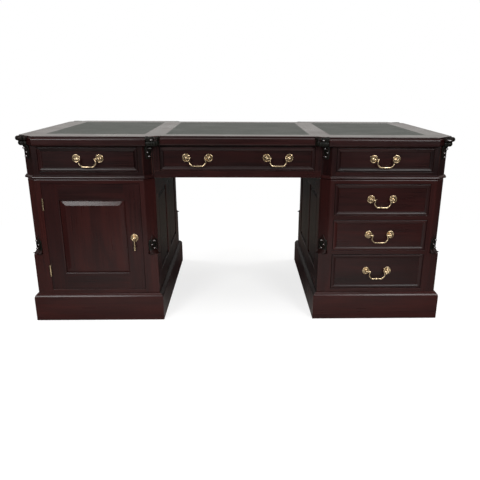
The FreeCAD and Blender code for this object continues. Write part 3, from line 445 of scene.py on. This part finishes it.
def brass_finish(finish, settings):
    place = finish.place()
    patches = finish.noise(place, 60.0, 3.0, 0.4)
    specks = finish.noise(place, 900.0, 2.0)
    aged = finish.steps(patches * 0.8 + specks * 0.2, 0.46, 0.66)
    finish.surface({
        "Base Color": finish.mix(aged * 0.75, tuple(settings.bright), tuple(settings.aged)),
        "Metallic": 1.0,
        "Roughness": settings.roughness + aged * 0.22,
        "Normal": finish.bump(patches, 0.0003, 0.12),
    })


def mahogany(context):
    return material("show_mahogany", mahogany_finish, context.scene.desk_mahogany)


def carved_mahogany(context):
    return material("carved_mahogany", carved_finish, context.scene)


def lining(context):
    return material("bare_lining", lining_finish, context.scene.desk_lining)


def leather(context):
    return material("desk_leather", leather_finish, context.scene.desk_leather)


def brass(context):
    return material("worn_brass", brass_finish, context.scene.desk_brass)


# Pieces from the frame's boards

def solids(node):
    """The separate solids of a CAD node, each a list of faces of corner points.

    A solid ends where its faces leave no edge open; one that stays open, and those after it, are left out.
    """
    mesh = frame["nodes"][node].data
    points = [tuple(round(c, 6) for c in vertex.co) for vertex in mesh.vertices]
    found, faces, loose = [], [], set()
    for polygon in mesh.polygons:
        corners = [points[i] for i in polygon.vertices]
        faces.append(corners)
        for start, end in zip(corners, corners[1:] + corners[:1]):
            if (end, start) in loose:
                loose.remove((end, start))
            else:
                loose.add((start, end))
        if not loose:
            found.append(faces)
            faces = []
    return found


def board_mesh(faces):
    """One solid as a bmesh, its flat faces whole again."""
    board = bmesh.new()
    corners = {}
    for face in faces:
        for corner in face:
            if corner not in corners:
                corners[corner] = board.verts.new(corner)
        if len(set(face)) == len(face):
            board.faces.new([corners[corner] for corner in face])
    bmesh.ops.dissolve_limit(board, angle_limit=FLAT, verts=board.verts, edges=board.edges)
    return board


def sharp_edges(board, angle):
    return [edge for edge in board.edges if edge.is_manifold and edge.calc_face_angle(0) > angle]


def grain_axes(board):
    """Two directions across the grain and one along it: the grain follows the longest sharp edge."""
    longest = max(sharp_edges(board, GRAIN_EDGE) or board.edges, key=lambda edge: edge.calc_length())
    along = (longest.verts[1].co - longest.verts[0].co).normalized()
    up = UP if abs(along.z) < 0.9 else Vector((0, 1, 0))
    across = along.cross(up).normalized()
    return across, along.cross(across), along


def soften(board, width):
    """Takes the sharpness off the board's edges and marks the narrow faces that this makes."""
    arris = board.faces.layers.float.new(ARRIS)
    if width:
        made = bmesh.ops.bevel(
            board, geom=sharp_edges(board, SOFT_EDGE), offset=width, segments=2, profile=0.6,
            affect="EDGES", clamp_overlap=True)
        for face in made["faces"]:
            face[arris] = 1.0
    for face in board.faces:
        face.smooth = True


def lay_grain(board, axes, offset):
    """Gives every corner its place in the log: across, across and along the grain."""
    layer = board.loops.layers.float_vector.new(GRAIN)
    for face in board.faces:
        for loop in face.loops:
            loop[layer] = Vector(axis.dot(loop.vert.co) for axis in axes) + offset


def add_piece(name, mesh, body):
    piece = bpy.data.objects.new(name, mesh)
    bpy.context.scene.collection.objects.link(piece)
    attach(piece, body)
    return piece


def join(whole, board):
    """Adds a board to the whole and frees it."""
    part = bpy.data.meshes.new("board")
    board.to_mesh(part)
    whole.from_mesh(part)
    board.free()
    bpy.data.meshes.remove(part)


# Painted light and shade as each piece's tone shift: the frieze darker under the top's overhang, the plinths,
# pedestal frames and middle drawers lighter, the bottom drawers a little darker
PAINTED_LIGHT_TONES = (
    (("drawer_front_frieze", "drawer_back_frieze"), -0.10),
    (("frieze_frame",), -0.07),
    (("plinths",), 0.15),
    (("pedestal_frame", "drawer_front_pedestal_middle", "drawer_back_pedestal_middle"), 0.07),
    (("drawer_front_pedestal_bottom", "drawer_back_pedestal_bottom"), -0.05),
)


def painted_light_of(node):
    return next((tone for starts, tone in PAINTED_LIGHT_TONES if node.startswith(starts)), 0.0)


def wooden_piece(context, node, inside=None, trim=None, painted_shade=None):
    """A CAD node's boards with softened edges and their own grain.

    inside(centre) says which boards aren't polished, trim(board, centre) may shorten a board, and the
    third function, given a face and whether it is narrow, says how much shade is painted on it, narrow being
    a softened edge.
    """
    width = context.scene.desk_mahogany.arris
    seed = random.Random(node)
    whole = bmesh.new()
    mesh = bpy.data.meshes.new(node + "_wood")
    for faces in solids(node):
        board = board_mesh(faces)
        centre = sum((vertex.co for vertex in board.verts), Vector()) / len(board.verts)
        plain = inside is not None and inside(centre)
        if trim is not None:
            trim(board, centre)
        axes = grain_axes(board)
        soften(board, width)
        lay_grain(board, axes, Vector([seed.uniform(-LOG_REACH, LOG_REACH) for _ in range(3)]))
        plank = board.faces.layers.float.new(PAINTED_LIGHT)
        hollow = board.faces.layers.float.new(SHADE_AND_DIRT)
        arris = board.faces.layers.float[ARRIS]
        for face in board.faces:
            face.material_index = int(plain)
            # painted light and shade: the piece's tone shift, and shade painted on chosen faces
            face[plank] = painted_light_of(node)
            face[hollow] = painted_shade(face, face[arris] > 0) if painted_shade is not None else 0.0
        join(whole, board)
    whole.to_mesh(mesh)
    whole.free()
    mesh.materials.append(mahogany(context))
    mesh.materials.append(lining(context))
    piece = add_piece(node + "_wood", mesh, frame["nodes"][node]["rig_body"])
    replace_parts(piece, node)
    smooth = piece.modifiers.new("flat faces", "WEIGHTED_NORMAL")
    smooth.weight = 100


def in_gap(face, fronts, distance):
    """Whether a face is this far outside the edge of a drawer front or door and looks sideways."""
    middle = face.calc_center_median()
    if abs(face.normal.y) > HEAD_ON:
        return False
    for low, high in fronts:
        outside = max(low.x - middle.x, middle.x - high.x, low.z - middle.z, middle.z - high.z)
        if middle.y * (low.y + high.y) > 0 and abs(outside - distance) < GAP_SHADE_REACH:
            return True
    return False


def painted_gap_shade(openings):
    """Painted shade on the softened edges of the carcass round its openings, darkening the gaps."""
    return lambda face, narrow: float(narrow and in_gap(face, openings, GAP))


def painted_front_shade(node, slope_shade):
    """Painted shade on the rim of a drawer front or door, and a little on what slopes up from it, toning down
    its highlight.
    """
    front = [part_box(node)]
    return lambda face, narrow: (
        1.0 if in_gap(face, front, 0.0) else slope_shade * float(face.normal.z > DRAWER_SLOPE))


# Carving, each piece made with +Y outwards from the middle of its cut corner and Z up

# Round lobes of a leaf seen from above: middle across and outwards, radius
OUTER_EAR_LOBES = ((0.0, 0.015, 0.020), (-0.016, 0.007, 0.011), (0.016, 0.007, 0.011), (0.0, 0.0, 0.018))
INNER_EAR_LOBES = (
    (0.0, 0.004, 0.010), (0.009, -0.005, 0.010), (0.0165, -0.0110, 0.0100), (0.0245, -0.0180, 0.0095),
    (-0.012, 0.001, 0.011), (-0.026, -0.006, 0.012))
OUTER_EAR_BELOW = 0.74          # size of the lower leaf of an ear, as a share of the upper one's
INNER_EAR_BELOW = 0.94
CREASE_WIDTH = 0.003            # of the groove between two lobes
CREASE_DEPTH = 0.10             # of that groove, as a share of the reach
VEIN_DEPTH = 0.07               # of the grooves that part a leaf's veins, likewise

# Corners round a tier, a leaf tip and a rod, and steps along a wreath and a scroll
TIER_SIDES, LEAF_SIDES, ROD_SIDES, WREATH_STEPS, SCROLL_STEPS = 96, 24, 10, 72, 40

# Level section of the board behind a wreath: shares of its half width and of its depth
GROUND_SECTION = ((-1.0, 0.0), (-0.92, 0.6), (-0.75, 1.0), (0.0, 0.75), (0.75, 1.0), (0.92, 0.6), (1.0, 0.0))


def carving_places(node):
    """Matrix, lowest and highest point of each solid of a node; its back is its largest upright face."""
    places = []
    for faces in solids(node):
        board = board_mesh(faces)
        upright = [face for face in board.faces if abs(face.normal.z) < 0.1]
        back = max(upright, key=lambda face: face.calc_area())
        out = -back.normal
        across = out.cross(UP)
        reaches = [across.dot(vertex.co) for vertex in board.verts]
        middle = across * (min(reaches) + max(reaches)) / 2 + out * out.dot(back.verts[0].co)
        heights = [vertex.co.z for vertex in board.verts]
        level = Matrix((across, out, UP)).transposed().to_4x4()
        places.append((Matrix.Translation(middle) @ level, min(heights), max(heights)))
        board.free()
    return places


def full_turn(count):
    """Angles at equal steps round a circle."""
    return [2 * math.pi * k / count for k in range(count)]


def reach_of(lobes, angle):
    """Distance from the axis to the outline of round lobes, and 1 where two lobes meet there."""
    reaches = []
    for x, y, radius in lobes:
        along = x * math.sin(angle) + y * math.cos(angle)
        aside = x * math.cos(angle) - y * math.sin(angle)
        if abs(aside) < radius:
            reaches.append(max(along + math.sqrt(radius ** 2 - aside ** 2), 0.0001))
    reaches.sort(reverse=True)
    crease = math.exp(-((reaches[0] - reaches[1]) / CREASE_WIDTH) ** 2) if len(reaches) > 1 else 0.0
    return reaches[0], crease


def carve_rings(board, rings, closed=False):
    """Skin over rings of (point, darkness) corners; open ends are capped."""
    hollow = board.verts.layers.float[SHADE_AND_DIRT]
    made = []
    for ring in rings:
        made.append([board.verts.new(place) for place, dark in ring])
        for vertex, (place, dark) in zip(made[-1], ring):
            vertex[hollow] = dark
    for lower, upper in zip(made, made[1:] + made[:1] if closed else made[1:]):
        for k in range(len(lower)):
            j = (k + 1) % len(lower)
            board.faces.new((lower[k], lower[j], upper[j], upper[k]))
    if not closed:
        board.faces.new(list(reversed(made[0])))
        board.faces.new(made[-1])


def carve_tier(board, lobes, profile, veins):
    """Fluted boss of round lobes; its profile is a list of (share of the reach, height, darkness)."""
    rings = []
    for share_out, height, dark in profile:
        ring = []
        for turn in full_turn(TIER_SIDES):
            angle = -turn
            reach, crease = reach_of(lobes, angle)
            vein = max(0.0, math.cos(veins * angle)) ** 4
            radius = reach * share_out * (1 - CREASE_DEPTH * crease - VEIN_DEPTH * vein)
            place = Vector((radius * math.sin(angle), radius * math.cos(angle), height))
            # painted shade darkens the creases between lobes and the grooves between veins
            ring.append((place, min(1.0, dark + 0.9 * crease + 0.5 * vein)))
        rings.append(ring)
    carve_rings(board, rings)


def carve_ear(board, lobes, low, high, hollow, share_below):
    """Leaf in two tiers: the upper curls over round a sunk top, the lower is tucked in under it."""
    split = (low + high) / 2
    tall = high - split
    # the last number of each row is painted shade: darkest in the sunk top and under the upper tier
    carve_tier(board, lobes, [
        (0.55, split, 1.0), (0.80, split + 0.03 * tall, 0.8),
        (0.94, split + 0.18 * tall, 0.4), (1.00, split + 0.42 * tall, 0.6),
        (0.99, split + 0.66 * tall, 0.45), (0.93, split + 0.86 * tall, 0.35),
        (0.85, high - 0.0003, 0.3), (0.76, high - 0.0012, 0.8), (0.68, high - 0.6 * hollow, 1.0),
        (0.56, high - hollow, 1.0), (0.20, high - hollow, 1.0)], 7)
    lower = [(x * share_below, y * share_below, radius * share_below) for x, y, radius in lobes]
    carve_tier(board, lower, [
        (0.40, low, 1.0), (0.78, low, 1.0), (0.93, low + 0.18 * tall, 0.8), (1.00, low + 0.45 * tall, 0.7),
        (0.97, low + 0.72 * tall, 0.8), (0.88, low + 0.92 * tall, 1.0), (0.70, split + 0.001, 1.0)], 5)


def carve_leaf(board, middle, wide, tall, lift=0.23):
    """Tip of a leaf: a slightly crowned oval that faces forwards and is lifted a little."""
    facing = Vector((0.74, 0.62, lift)).normalized()
    across = facing.cross(UP).normalized()
    up = across.cross(facing)
    # the last number is painted shade at the leaf's foot, or below 0 a glossier crown
    profile = (
        (0.7, -0.005, 1.0), (1.0, -0.0025, 1.0), (1.0, -0.0008, -0.6), (0.9, 0.0, -1.0),
        (0.5, 0.0004, -1.0), (0.1, 0.0005, -1.0))
    rings = []
    for size, rise, dark in profile:
        rings.append([(middle + across * math.cos(turn) * wide * size + up * math.sin(turn) * tall * size
                       + facing * rise, dark) for turn in full_turn(LEAF_SIDES)])
    carve_rings(board, rings)


def carve_rod(board, path, radii, dark, closed):
    """Round rod along a path in an upright plane, thicker and thinner as its radii say."""
    rings = []
    for i, (centre, radius) in enumerate(zip(path, radii)):
        after = path[(i + 1) % len(path)] if closed else path[min(i + 1, len(path) - 1)]
        before = path[i - 1] if closed else path[max(i - 1, 0)]
        along = (after - before).normalized()
        aside = along.cross(Vector((0, 1, 0))).normalized()
        out = aside.cross(along)
        rings.append([(centre + (aside * math.cos(turn) + out * math.sin(turn)) * radius, dark)
                      for turn in full_turn(ROD_SIDES)])
    carve_rings(board, rings, closed)


def carve_scroll(board, middle, size):
    """Leaf's end rolled up into a scroll, thickest halfway along."""
    rolled_up = math.radians(500)
    last = SCROLL_STEPS - 1
    path, radii = [], []
    for i in range(SCROLL_STEPS):
        turn = rolled_up * i / last
        reach = size * (1 - 0.72 * i / last)
        path.append(middle + Vector((
            reach * math.sin(turn), 0.002 * i / SCROLL_STEPS, reach * math.cos(turn))))
        radii.append(size * (0.10 + 0.10 * math.sin(math.pi * i / last)))
    carve_rod(board, path, radii, -0.5, False)


def carve_wreath(board, middle, lean, width, carving, lift):
    """Squarish wreath round a bud, with leaf tips at its top, its foot and its forward side."""
    half, rod = carving.wreath_height / 2, carving.rod
    ring, radii = [], []
    for turn in full_turn(WREATH_STEPS):
        aside, rise = math.sin(turn), math.cos(turn)
        ring.append(middle + Vector((
            math.copysign(abs(aside) ** 0.6, aside) * width / 2, lean * half * rise, half * rise)))
        radii.append(rod * (0.15 + 0.35 * rise ** 4 + 0.26 * max(0.0, aside) ** 10))
    # the rod and the bud get some painted shade
    carve_rod(board, ring, radii, 0.3, True)
    bud = [middle + Vector((0, -rod * 0.3, rod * 0.7 * rise)) for rise in (-1, -0.8, -0.4, 0, 0.4, 0.8, 1)]
    carve_rod(board, bud, [rod * size for size in (0.05, 0.2, 0.3, 0.34, 0.3, 0.2, 0.05)], 0.6, False)
    for aside, rise, wide in ((0.1, 1, 1.0), (0.85, 0, 0.55), (0.1, -1, 1.0)):
        place = middle + Vector((aside * width / 2, lean * half * rise + rod * 0.46, half * rise))
        carve_leaf(board, place, rod * wide * 1.15, rod * 0.55, lift)


def carve_ground(board, stations):
    """Board behind a wreath; a station is (half width, depth, height, darkness)."""
    rings = []
    for half, depth, height, dark in stations:
        rings.append([(Vector((x * half, depth * y, height)), dark) for x, y in GROUND_SECTION])
    carve_rings(board, rings)


def carve_corbel(board, low, high, carving):
    """Leaf with scalloped edges under the top, and the wreath on it."""
    tall = high - low
    # the ground behind the wreath is painted dark as shade, with some dirt
    carve_ground(board, [
        (0.0040, 0.0010, low, 0.9), (0.0100, 0.0018, low + 0.05 * tall, 1.0),
        (0.0145, 0.0022, low + 0.14 * tall, 1.0), (0.0130, 0.0024, low + 0.27 * tall, 1.0),
        (0.0175, 0.0028, low + 0.40 * tall, 1.0), (0.0150, 0.0034, low + 0.54 * tall, 1.0),
        (0.0195, 0.0044, low + 0.68 * tall, 1.0), (0.0170, 0.0065, low + 0.80 * tall, 1.0),
        (0.0200, 0.0100, low + 0.91 * tall, 1.0), (0.0190, 0.0125, high, 1.0)])
    carve_wreath(board, Vector((0, 0.0056, low + 0.51 * tall)), 0.16, carving.corbel_wreath, carving, 0.24)


def carve_stop(board, low, high, cut, carving):
    """Scooped slope from the square foot, with a round leaf and its wreath above it."""
    # the ground round the wreath is painted dark as shade, with some dirt; the foot's slope is not
    carve_ground(board, [
        (cut * 0.98, cut * 0.85, low, 0.0), (cut * 0.88, cut * 0.45, low + 0.005, 0.0),
        (cut * 0.80, 0.0070, low + 0.014, 0.0), (cut * 0.90, 0.0045, low + 0.018, 1.0),
        (cut * 0.82, 0.0035, low + 0.030, 1.0), (cut * 0.94, 0.0035, low + 0.041, 1.0),
        (cut * 0.80, 0.0035, low + 0.052, 1.0), (cut * 0.84, 0.0035, low + 0.058, 0.9),
        (cut * 0.50, 0.0030, low + 0.063, 0.1), (cut * 0.25, 0.0022, high - 0.005, 0.0),
        (cut * 0.08, 0.0010, high, 0.0)])
    carve_wreath(board, Vector((0, 0.0056, low + 0.0405)), 0.0, carving.stop_wreath, carving, 0.36)


def refinish(node, finish):
    """A CAD node that keeps its shape and gets a better material."""
    for slot in frame["nodes"][node].material_slots:
        slot.material = finish


def nodes_named(*starts):
    return [node for node in frame["nodes"] if node.startswith(starts)]


# Operators

class DESK_OT_writing_top(bpy.types.Operator):
    """Make the mahogany board of the top and its edge mouldings"""

    bl_idname = "desk.writing_top"
    bl_label = "Writing Top"

    def execute(self, context):
        wooden_piece(context, "writing_top", trim=self.make_room)
        return {"FINISHED"}

    def make_room(self, board, centre):
        """Cuts mouldings back round the inner ears, so that their leaves reach the front and back."""
        ends = [abs(vertex.co.x) for vertex in board.verts]
        if abs(centre.y) < CAD_BOX[1][1] - EAR_ROOM or min(ends) > EAR_CLEAR_X or max(ends) < KNEE_FRONT_X:
            return
        if max(ends) < EAR_CLEAR_X:
            side = math.copysign(1, centre.y)
            place, outwards = Vector((0, side * EAR_CLEAR_Y, 0)), Vector((0, side, 0))
        else:
            side = math.copysign(1, centre.x)
            place, outwards = Vector((side * EAR_CLEAR_X, 0, 0)), Vector((-side, 0, 0))
        cut = bmesh.ops.bisect_plane(
            board, geom=[*board.verts, *board.edges, *board.faces], plane_co=place, plane_no=outwards,
            clear_outer=True)
        rim = [part for part in cut["geom_cut"] if isinstance(part, bmesh.types.BMEdge)]
        bmesh.ops.holes_fill(board, edges=rim)


class DESK_OT_leather(bpy.types.Operator):
    """Lay the three leather panels"""

    bl_idname = "desk.leather"
    bl_label = "Leather"

    def execute(self, context):
        refinish("leather_insets", leather(context))
        return {"FINISHED"}


class DESK_OT_frieze(bpy.types.Operator):
    """Make the frieze carcass and the waist moulding under it"""

    bl_idname = "desk.frieze"
    bl_label = "Frieze"

    def execute(self, context):
        fronts = nodes_named("drawer_front_frieze", "drawer_back_frieze")
        openings = [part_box(node) for node in fronts]
        wooden_piece(context, "frieze_frame", painted_shade=painted_gap_shade(openings))
        wooden_piece(context, "waist_moulding")
        return {"FINISHED"}


class DESK_OT_pedestals(bpy.types.Operator):
    """Make the pedestal carcasses with their side panels and plinths"""

    bl_idname = "desk.pedestals"
    bl_label = "Pedestals"

    def execute(self, context):
        fronts = nodes_named("drawer_front_pedestal", "drawer_back_pedestal", "door_frame")
        openings = [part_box(node) for node in fronts]
        for node in ("pedestal_frame_left", "pedestal_frame_right"):
            wooden_piece(context, node, painted_shade=painted_gap_shade(openings))
        wooden_piece(context, "pedestal_side_panels", painted_shade=self.painted_bevel_shade)
        wooden_piece(context, "plinths", painted_shade=self.painted_ledge_shade)
        return {"FINISHED"}

    def painted_bevel_shade(self, face, narrow):
        """Shade is painted on the bevels round the side panels' fields."""
        least, most = BEVEL_SLOPE
        return BEVEL_SHADE if least < math.hypot(face.normal.y, face.normal.z) < most else 0.0

    def painted_ledge_shade(self, face, narrow):
        """Shade is painted on the plinths' upper edges in the kneehole, which also dulls them."""
        middle = face.calc_center_median()
        in_kneehole = abs(middle.x) < KNEE_REACH_X and abs(middle.y) < KNEE_REACH_Y
        return LEDGE_SHADE if in_kneehole and face.normal.z > LEDGE_SLOPE else 0.0


class DESK_OT_linings(bpy.types.Operator):
    """Finish the bare boards inside: linings, shelves and drawer runners"""

    bl_idname = "desk.linings"
    bl_label = "Linings"

    def execute(self, context):
        for node in ("pedestal_linings", "cupboard_shelves", "drawer_runners"):
            refinish(node, lining(context))
        return {"FINISHED"}


class DESK_OT_carvings(bpy.types.Operator):
    """Carve the brackets at the top's corners and the stops at the pedestals' corners"""

    bl_idname = "desk.carvings"
    bl_label = "Carvings"

    def execute(self, context):
        carving = context.scene.desk_carving
        foot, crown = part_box("corner_brackets")
        stops = carving_places("corner_stops")
        ears = [ear for ear in carving_places("corner_brackets") if ear[2] > crown.z - EAR_CREST]
        under_top = ears[0][1]
        self.carve(context, "corner_stops", [
            (place, self.stop(low, high, carving)) for place, low, high in stops])
        self.carve(context, "corner_brackets", [
            *[(place, self.ear(place, low, high, carving)) for place, low, high in ears],
            *[(place, self.corbel(foot.z, under_top, carving)) for place, low, high in stops]])
        return {"FINISHED"}

    def stop(self, low, high, carving):
        board = self.blank()
        carve_stop(board, low, high, CORNER_CUT / math.sqrt(2), carving)
        return board

    def corbel(self, low, high, carving):
        board = self.blank()
        carve_corbel(board, low, high, carving)
        return board

    def ear(self, place, low, high, carving):
        board = self.blank()
        middle = place.translation
        crest = high - EAR_CREST
        if abs(middle.x) > CAD_BOX[1][0] / 2:
            carve_ear(board, OUTER_EAR_LOBES, low, high, carving.hollow, OUTER_EAR_BELOW)
            if middle.x * middle.y < 0:
                carve_leaf(board, Vector((0.0212, 0.0222, crest + 0.001)), 0.0125, 0.0040)
        else:
            carve_ear(board, INNER_EAR_LOBES, low, high, carving.hollow, INNER_EAR_BELOW)
            carve_leaf(board, Vector((0.0155, 0.0050, crest)), 0.0072, 0.0036)
            carve_scroll(board, Vector((0.003, 0.0155, crest + 0.001)), 0.0075)
        return board

    def blank(self):
        """Empty mesh whose corners can say how dark they are."""
        board = bmesh.new()
        board.verts.layers.float.new(SHADE_AND_DIRT)
        return board

    def carve(self, context, node, pieces):
        """Joins carved pieces, their +X turned forwards, in one mesh that stands for the node."""
        whole = self.blank()
        deepest = CAD_BOX[1][1]
        for place, board in pieces:
            mirrored = place.col[0].y * place.translation.y < 0
            for vertex in board.verts:
                if mirrored:
                    vertex.co.x = -vertex.co.x
                vertex.co = place @ vertex.co
                vertex.co.y = max(-deepest, min(deepest, vertex.co.y))
            join(whole, board)
        bmesh.ops.recalc_face_normals(whole, faces=whole.faces)
        for face in whole.faces:
            face.smooth = True
        lay_grain(whole, Matrix.Identity(3), CARVING_LOG)
        mesh = bpy.data.meshes.new(node + "_carved")
        whole.to_mesh(mesh)
        whole.free()
        mesh.materials.append(carved_mahogany(context))
        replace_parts(add_piece(node + "_carved", mesh, frame["nodes"][node]["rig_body"]), node)


class DESK_OT_drawers(bpy.types.Operator):
    """Make the drawers, with polished fronts and bare sides, backs and bottoms"""

    bl_idname = "desk.drawers"
    bl_label = "Drawers"

    def execute(self, context):
        for node in nodes_named("drawer_front_", "drawer_back_"):
            low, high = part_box(node)
            back = max(abs(low.y), abs(high.y)) - DRAWER_FRONT
            wooden_piece(context, node, lambda centre, back=back: abs(centre.y) < back,
                         painted_shade=painted_front_shade(node, DRAWER_SLOPE_SHADE))
        return {"FINISHED"}


class DESK_OT_doors(bpy.types.Operator):
    """Make the cupboard doors"""

    bl_idname = "desk.doors"
    bl_label = "Doors"

    def execute(self, context):
        for node in nodes_named("door_frame_"):
            wooden_piece(context, node, painted_shade=painted_front_shade(node, 0.0))
        for node in nodes_named("door_panel_"):
            wooden_piece(context, node)
        return {"FINISHED"}


class DESK_OT_fittings(bpy.types.Operator):
    """Finish the brass handles, pulls and hinges"""

    bl_idname = "desk.fittings"
    bl_label = "Brass Fittings"

    def execute(self, context):
        for node in nodes_named("rosettes_", "bail_", "door_fittings_", "drop_pull_", "hinge_"):
            refinish(node, brass(context))
        return {"FINISHED"}


class DESK_OT_stage(bpy.types.Operator):
    """Set up the floor, the studio light and the camera"""

    bl_idname = "desk.stage"
    bl_label = "Stage"

    def execute(self, context):
        studio = context.scene.desk_studio
        self.floor(studio)
        self.lights(studio)
        self.world(context, studio)
        self.camera(context, studio)
        context.scene.view_settings.view_transform = "Standard"
        return {"FINISHED"}

    def floor(self, studio):
        """White where it is seen, with the desk's shadow on it; where it is mirrored, a painted pale pool of
        light before the desk, dim behind it and dark beyond.
        """
        mesh = bpy.data.meshes.new("floor")
        corners = ((-1, -1), (1, -1), (1, 1), (-1, 1))
        mesh.from_pydata([(x * FLOOR_HALF, y * FLOOR_HALF, 0) for x, y in corners], [], [(0, 1, 2, 3)])
        floor = bpy.data.objects.new("floor", mesh)
        bpy.context.scene.collection.objects.link(floor)
        paint = bpy.data.materials.new("pale_floor")
        finish = Finish(paint)
        # painted light on the mirrored floor: pale before the desk, dimmer behind it, dark elsewhere
        pale = finish.mix(self.away_from(finish, *FLOOR_BEFORE), tuple(studio.floor), tuple(studio.floor_far))
        tone = finish.mix(self.away_from(finish, *FLOOR_BEHIND), tuple(studio.floor_behind), pale)
        mirrored = finish.node("ShaderNodeBsdfDiffuse", {}, {"Color": tone})
        shaded = finish.node("ShaderNodeAddShader", {}, {
            0: finish.node("ShaderNodeBsdfDiffuse", {}, {"Color": SHADED_COLOUR}),
            1: finish.glow(SHADED_GLOW)})
        white = finish.node("ShaderNodeMixShader", {}, {
            0: self.away_from(finish, *FLOOR_SHADED), 1: shaded, 2: finish.glow(1.0)})
        finish.node_output(finish.node("ShaderNodeMixShader", {}, {
            0: finish.seen_directly(), 1: mirrored, 2: white}))
        mesh.materials.append(paint)

    def away_from(self, finish, middle, near, far):
        """0 up to the near distance from a point on the floor, 1 beyond the far one."""
        distance = finish.node("ShaderNodeVectorMath", {"operation": "DISTANCE"}, {
            0: finish.place(), 1: middle}, 1)
        return finish.steps(distance, near, far)

    def lights(self, studio):
        """Soft boxes: name, place, aim, width and height, power, and whether the polish mirrors them."""
        boxes = [
            ("left_box", (-1.75, -3.5, 1.95), (-0.4, -0.4, 0.45), (1.1, 1.5), studio.side_power, True),
            ("right_box", (1.75, -3.5, 1.95), (0.4, -0.4, 0.45), (1.1, 1.5), studio.side_power, True),
            ("top_box", (0.0, -0.6, 3.2), (0.0, 0.0, 0.5), (2.6, 1.8), studio.top_power, True),
            ("left_end_box", (-3.4, 1.0, 1.6), (-0.9, 0.1, 0.4), (1.4, 1.4), studio.end_power, False),
            ("right_end_box", (3.4, 1.0, 1.6), (0.9, 0.1, 0.4), (1.4, 1.4), studio.end_power, False),
        ]
        for name, place, aim, size, energy, mirrored in boxes:
            lamp = bpy.data.lights.new(name, "AREA")
            lamp.shape = "RECTANGLE"
            lamp.size, lamp.size_y = size
            lamp.energy = energy
            box = bpy.data.objects.new(name, lamp)
            box.visible_glossy = mirrored
            box.location = place
            box.rotation_euler = (Vector(aim) - Vector(place)).to_track_quat("-Z", "Y").to_euler()
            bpy.context.scene.collection.objects.link(box)

    def world(self, context, studio):
        """White where it is seen; in the polish a pale wall behind the desk and a dim room in front."""
        world = bpy.data.worlds.new("studio")
        context.scene.world = world
        finish = Finish(world)
        way = finish.node("ShaderNodeTexCoord", {}, {}, "Generated")
        back = finish.node("ShaderNodeSeparateXYZ", {}, {0: way}, "Y")
        rise = finish.node("ShaderNodeSeparateXYZ", {}, {0: way}, "Z")
        wall = studio.wall + finish.ray("Glossy") * (studio.wall_shine - studio.wall)
        walls = studio.room + finish.steps(back, *WALL_STARTS) * (wall - studio.room)
        roofed = walls + finish.steps(rise, *CEILING_STARTS) * (studio.ceiling - walls)
        level = studio.ground + finish.steps(rise, *HORIZON) * (roofed - studio.ground)
        mirrored = finish.mix(level, (0.0, 0.0, 0.0), tuple(studio.tint))
        light = finish.mix(finish.seen_directly(), mirrored, WHITE[:3])
        background = finish.node("ShaderNodeBackground", {}, {"Color": light, "Strength": 1.0})
        finish.node_output(background, "ShaderNodeOutputWorld")

    def camera(self, context, studio):
        """Camera that looks along +Y when its yaw, pitch and roll are 0."""
        yaw, pitch, roll = studio.yaw, studio.pitch, studio.roll
        ahead = Vector((math.sin(yaw) * math.cos(pitch), math.cos(yaw) * math.cos(pitch), -math.sin(pitch)))
        right = Vector((math.cos(yaw), -math.sin(yaw), 0))
        up = right.cross(ahead)
        level = Matrix((right, up, -ahead)).transposed()
        lens = bpy.data.cameras.new("camera")
        lens.lens = studio.lens
        lens.shift_x, lens.shift_y = studio.shift
        camera = bpy.data.objects.new("camera", lens)
        camera.matrix_world = Matrix.Translation(studio.camera_place) @ (
            level @ Matrix.Rotation(roll, 3, "Z")).to_4x4()
        context.scene.collection.objects.link(camera)
        context.scene.camera = camera


class DESK_PT_panel(bpy.types.Panel):
    """Pieces of the desk, in the order in which they are made"""

    bl_idname = "DESK_PT_panel"
    bl_label = "Partners Desk"
    bl_space_type = "VIEW_3D"
    bl_region_type = "UI"
    bl_category = "Desk"

    def draw(self, context):
        for operator in OPERATORS:
            self.layout.operator(operator.bl_idname)


SETTINGS = {
    "desk_mahogany": MahoganySettings,
    "desk_lining": LiningSettings,
    "desk_leather": LeatherSettings,
    "desk_brass": BrassSettings,
    "desk_carving": CarvingSettings,
    "desk_studio": StudioSettings,
}
OPERATORS = (
    DESK_OT_writing_top, DESK_OT_leather, DESK_OT_frieze, DESK_OT_pedestals, DESK_OT_linings,
    DESK_OT_carvings, DESK_OT_drawers, DESK_OT_doors, DESK_OT_fittings, DESK_OT_stage,
)
CLASSES = (*SETTINGS.values(), *OPERATORS, DESK_PT_panel)


def register():
    for made in CLASSES:
        bpy.utils.register_class(made)
    for name, group in SETTINGS.items():
        setattr(bpy.types.Scene, name, bpy.props.PointerProperty(type=group))


def unregister():
    for name in SETTINGS:
        delattr(bpy.types.Scene, name)
    for made in reversed(CLASSES):
        bpy.utils.unregister_class(made)


def main():
    register()
    for operator in OPERATORS:
        group, name = operator.bl_idname.split(".")
        getattr(getattr(bpy.ops, group), name)()


if __name__ == "__main__":
    main()
